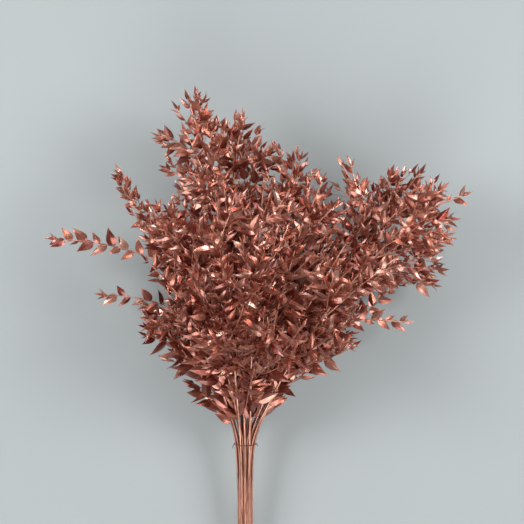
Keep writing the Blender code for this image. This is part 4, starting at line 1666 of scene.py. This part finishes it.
@dataclass(frozen=True)
class Bark:
    """How the wood is shaped: ribbed along its length, and rounder than its solid.

    Attributes:
        sides: the sides of its section.
        steps: how many stretches each of the solid's is made of.
        rib: how far every second corner stands out, as a share of the radius.
        rib_spread: how much that varies.
        knobby: how much a stem's radius varies along it.
        grain_spread: how far apart in the grain's noise two pieces of wood may be, in metres.
        shade_at: heights over the tie, from the cut end up.
        shade_share: how dark the stems' sides that face into the bundle are painted, as their
            shade, at each of them.
        openness: how much a place faces out of the bundle where its painted shade is full and where
            there is none.
    """

    sides: dict[Order, int] = field(
        default_factory=lambda: {Order.STEM: 12, Order.SHOOT: 6, Order.SPRAY: 6, Order.TWIG: 4})
    steps: dict[Order, int] = field(
        default_factory=lambda: {Order.STEM: 6, Order.SHOOT: 4, Order.SPRAY: 4, Order.TWIG: 3})
    rib: float = 0.055
    rib_spread: float = 0.03
    knobby: tuple[float, float] = (0.98, 1.04)
    grain_spread: float = 0.3
    shade_at: tuple[float, ...] = (-197 * MM, -60 * MM, 50 * MM, 140 * MM)
    shade_share: tuple[float, ...] = (0.2, 0.75, 1.0, 0.0)
    openness: tuple[float, float] = (0.25, 0.72)

    def painted_shade(self, wood: Wood, shape: bpy.types.Mesh, bundle: Bundle) -> list[float]:
        """Painted shade: how dark each corner is painted, for the shade that falls on the stems.

        The stems' sides that face into the bundle are painted dark as their shade, most of all
        round the tie, where the leaves are in the way of the light.

        Args:
            wood: the wood.
            shape: its shape.
            bundle: the stems together.

        Returns:
            A value for each corner, from 0 for no painted shade to 1 for the darkest.
        """
        if wood.order is not Order.STEM:
            return [0.0] * len(shape.vertices)
        # Painted shade: the more a corner faces into the bundle, and the nearer it is to the tie,
        # the darker it is painted
        closed, opened = self.openness
        values = []
        for vert in shape.vertices:
            darker = (opened - bundle.faces_out(vert.co, vert.normal)) / (opened - closed)
            share = float(np.interp(vert.co.y, self.shade_at, self.shade_share))
            values.append(min(1.0, max(0.0, darker)) * share)
        return values

    def shape(self, wood: Wood) -> bmesh.types.BMesh:
        """The wood along its smooth curve.

        Args:
            wood: the wood.

        Returns:
            The closed shape, smooth but for the edges of its two ends.
        """
        rng = random.Random(f"{wood.name} bark")
        steps, sides = self.steps[wood.order], self.sides[wood.order]
        spots = [(k, i / steps) for k in range(len(wood.path) - 1) for i in range(steps)]
        spots.append((len(wood.path) - 2, 1.0))
        path = [wood.smooth_at(k, share) for k, share in spots]
        radii = [wood.radii[k] * (1 - share) + wood.radii[k + 1] * share for k, share in spots]
        if wood.order is Order.STEM:
            radii = [r * rng.uniform(*self.knobby) for r in radii]
        whole = (path[-1] - path[0]).normalized()
        up = UP if abs(whole.z) < 0.85 else Vector((1, 0, 0))
        ribs = [1 + self.rib * (-1) ** k + rng.uniform(-self.rib_spread, self.rib_spread)
                for k in range(sides)]
        bm = swept(frames_along(path, wood.first_tangent, up), radii, sides,
                   ribs if wood.order is Order.STEM else None)
        grain = bm.verts.layers.float_vector["grain"]
        own_place = Vector([rng.uniform(0, self.grain_spread) for _ in range(3)])
        for vert in bm.verts:
            vert[grain] += own_place
        smooth_shading(bm)
        return bm


class StemPieces:
    """The dressed stems, one piece each."""

    def __init__(self, bundle: Bundle, shift: Vector) -> None:
        """Readies the finishes.

        Args:
            bundle: the stems together.
            shift: the step from the tie's middle to the frame.
        """
        self.bundle = bundle
        self.shift = shift
        self.cutter = LeafCutter()
        self.bark = Bark()
        self.finishes = [CopperWoodPaint().material(), CopperLeafPaint().material()]

    def build(self, stem: GrownStem) -> bpy.types.Object:
        """Builds one stem with its shoots, twigs and leaves.

        Args:
            stem: the stem as it grew.

        Returns:
            The piece, which stands for the stem's node.
        """
        whole = bmesh.new()
        for wood in stem.wood:
            shape = self.bark.shape(wood)
            mesh = bpy.data.meshes.new("wood")
            shape.to_mesh(mesh)
            shape.free()
            # The wood's tone holds its painted shade
            tone = mesh.attributes.new("tone", "FLOAT", "POINT")
            tone.data.foreach_set("value", self.bark.painted_shade(wood, mesh, self.bundle))
            whole.from_mesh(mesh)
            bpy.data.meshes.remove(mesh)
        for leaf in stem.leaves:
            whole.from_mesh(self.cutter.cut(leaf))
        name = stem.plan.name
        piece = new_piece(f"ruscus_{name}", whole, self.finishes, self.shift)
        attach(piece, "root")
        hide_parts(f"stem_{name}")
        log.info("%s: %d pieces of wood, %d leaves, %d triangles", piece.name, len(stem.wood),
                 len(stem.leaves), triangle_count(piece))
        return piece


def triangle_count(piece: bpy.types.Object) -> int:
    """The number of triangles in a piece."""
    return sum(len(face.vertices) - 2 for face in piece.data.polygons)


@dataclass(frozen=True)
class TieWire:
    """The wire: turns side by side round the stems, with an end standing out at each side.

    The two ends' points are in mm from where the wire leaves the stems.
    """

    ring_radius: float = 0.55 * MM
    wire_radius: float = 0.5 * MM
    gap: float = 0.3 * MM
    turns: int = 2
    corners: int = 60
    sag: tuple[float, float] = (0.44 * MM, 1.1 * MM)
    sides: int = 8
    first_end: tuple[tuple[float, float, float], ...] = (
        (-2.2, -5.6, 1.4), (-1.9, -2.8, 1.0), (-1.3, -0.7, 0.5))
    last_end: tuple[tuple[float, float, float], ...] = (
        (1.2, -0.7, 0.4), (1.8, -2.45, 0.9), (2.0, -4.2, 1.5))

    def side_of(self, bundle: Bundle, angle: float) -> Vector:
        """Finds the wire's place at an angle round the bundle: tight on the outer stems.

        Args:
            bundle: the stems that it holds.
            angle: the angle, from the right over the top.

        Returns:
            The point on the wire's middle line.
        """
        reach = bundle.tie_radius + self.gap + self.ring_radius
        spots = [Vector((p.x * bundle.tie_wider, p.y * bundle.tie_flatter))
                 for p in bundle.places()]
        side = Vector((math.cos(angle), math.sin(angle)))
        x, rise = max(spots, key=side.dot) + side * reach
        back = -math.tan(bundle.slope) * rise
        return Vector((x, back, bundle.height(0.0) + rise))

    def winding(self, bundle: Bundle) -> list[Vector]:
        """Winds the wire: from one end, round and round, and out to the other end.

        Args:
            bundle: the stems that it holds.

        Returns:
            The points of its middle line.
        """
        start, stop = math.pi, math.tau * self.turns
        path = []
        for angle in np.linspace(start, stop, self.corners * self.turns):
            share = (angle - start) / (stop - start)
            point = self.side_of(bundle, angle)
            point.y += (share - 0.5) * self.turns * self.wire_radius * 2
            sag = self.sag[0] + (self.sag[1] - self.sag[0]) * share
            point.y -= sag * max(0.0, math.sin(angle))
            path.append(point)
        head, tail = ([root + Vector(step) * MM for step in steps]
                      for root, steps in ((path[0], self.first_end), (path[-1], self.last_end)))
        return head + path + tail

    def build(self, bundle: Bundle, shift: Vector) -> bpy.types.Object:
        """Builds the wire.

        Args:
            bundle: the stems that it holds.
            shift: the step to the frame.

        Returns:
            The piece, which stands for the wire's node.
        """
        path = self.winding(bundle)
        frames = frames_along(path, up=Vector((0, 1, 0)))
        bm = swept(frames, [self.wire_radius] * len(path), self.sides)
        smooth_shading(bm)
        piece = new_piece("tie_wire", bm, [AnnealedCopperWire().material()], shift)
        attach(piece, "root")
        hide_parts("binding_wire")
        log.info("%s: %d triangles", piece.name, triangle_count(piece))
        return piece


@dataclass(frozen=True)
class Studio:
    """A board on the floor, broad lights low round it, and a camera overhead.

    Attributes:
        floor_size: the side of the board.
        floor_depth: how far its top is under the bunch.
        camera_height: the camera's height.
        view_height: the height at which a pixel of the picture covers pixel.
        pixel: how much a pixel covers there.
        image: the side of the picture, in pixels.
        aim: what the camera looks at, from the middle of the tie.
        light_place: where the side light at the right stands, from that point.
        light_size: its side.
        light_power: its power in watts.
        fill_place: where the light past the tips stands, with its mirror image past the cut ends.
        fill_size: the side of both.
        fill_powers: the power of each.
        world_colour: the colour of the room.
        world_strength: how bright it is.
    """

    floor_size: float = 14.0
    floor_depth: float = 0.3 * MM
    camera_height: float = 3.0
    view_height: float = 0.09
    pixel: float = 1.4 * MM
    image: int = 524
    aim: tuple[float, float] = (24 * MM, 259 * MM)
    light_place: tuple[float, float, float] = (1.93, 0.42, 1.35)
    light_size: float = 1.0
    light_power: float = 40.0
    fill_place: tuple[float, float, float] = (0.0, 2.1, 1.7)
    fill_size: float = 1.6
    fill_powers: tuple[float, float] = (16.0, 30.0)
    world_colour: str = "#C4C8CA"
    world_strength: float = 0.34

    def add_floor(self) -> None:
        """Lays the board just under the stems that rest on it."""
        bm = bmesh.new()
        bmesh.ops.create_grid(bm, x_segments=1, y_segments=1, size=self.floor_size / 2)
        drop = Vector((0, 0, -self.floor_depth))
        floor = new_piece("board", bm, [BackdropPaint().material()], drop)

    def add_light(self, name: str, place: Vector, target: Vector, size: float,
                  power: float) -> None:
        """Adds a square light that faces a point.

        Args:
            name: its name.
            place: where it stands.
            target: what it faces.
            size: its side.
            power: its power in watts.
        """
        data = bpy.data.lights.new(name, "AREA")
        data.shape = "SQUARE"
        data.size = size
        data.energy = power
        light = bpy.data.objects.new(name, data)
        light.location = place
        light.rotation_euler = (target - place).to_track_quat("-Z", "Y").to_euler()
        bpy.context.scene.collection.objects.link(light)

    def add_lights(self, middle: Vector) -> None:
        """Adds the two side lights, and two broader ones past the tips and past the cut ends.

        Args:
            middle: the point that they all face.
        """
        x, y, z = self.light_place
        for name, way in (("left_light", -1), ("right_light", 1)):
            place = middle + Vector((way * x, y, z))
            self.add_light(name, place, middle, self.light_size, self.light_power)
        x, y, z = self.fill_place
        for name, way, power in zip(("tip_light", "cut_end_light"), (1, -1), self.fill_powers):
            place = middle + Vector((x, way * y, z))
            self.add_light(name, place, middle, self.fill_size, power)

    def add_world(self) -> None:
        """Sets the pale room that the paint reflects."""
        world = bpy.data.worlds.new("room")
        world.use_nodes = True
        background = world.node_tree.nodes["Background"]
        background.inputs["Color"].default_value = linear(self.world_colour)
        background.inputs["Strength"].default_value = self.world_strength
        bpy.context.scene.world = world

    def add_camera(self, middle: Vector) -> None:
        """Hangs the camera straight over the bunch, with the photograph's scale and framing.

        Args:
            middle: the point on the floor under it.
        """
        data = bpy.data.cameras.new("overhead_camera")
        seen = self.pixel * self.image
        data.sensor_width = 36.0
        data.lens = data.sensor_width * (self.camera_height - self.view_height) / seen
        data.clip_start = 0.01
        camera = bpy.data.objects.new("overhead_camera", data)
        camera.location = Vector((middle.x, middle.y, self.camera_height))
        bpy.context.scene.collection.objects.link(camera)
        bpy.context.scene.camera = camera

    def build(self, shift: Vector) -> None:
        """Builds the studio.

        Args:
            shift: the step from the tie's middle to the frame.
        """
        middle = Vector((*self.aim, 0.0)) + Vector((shift.x, shift.y, 0.0))
        self.add_floor()
        self.add_lights(middle)
        self.add_world()
        self.add_camera(middle)
        bpy.context.scene.view_settings.view_transform = "Standard"
        bpy.context.scene.view_settings.look = "None"


def main() -> None:
    """Grows the bunch, dresses it and sets the studio round it."""
    logging.basicConfig(level=logging.INFO, format="%(name)s: %(message)s")
    plant = Ruscus()
    shift = plant.grow()
    pieces = StemPieces(plant.bundle, shift)
    made = [pieces.build(stem) for stem in plant.stems]
    made.append(TieWire().build(plant.bundle, shift))
    Studio().build(shift)
    log.info("%d pieces, %d triangles", len(made), sum(triangle_count(p) for p in made))


if __name__ == "__main__":
    main()
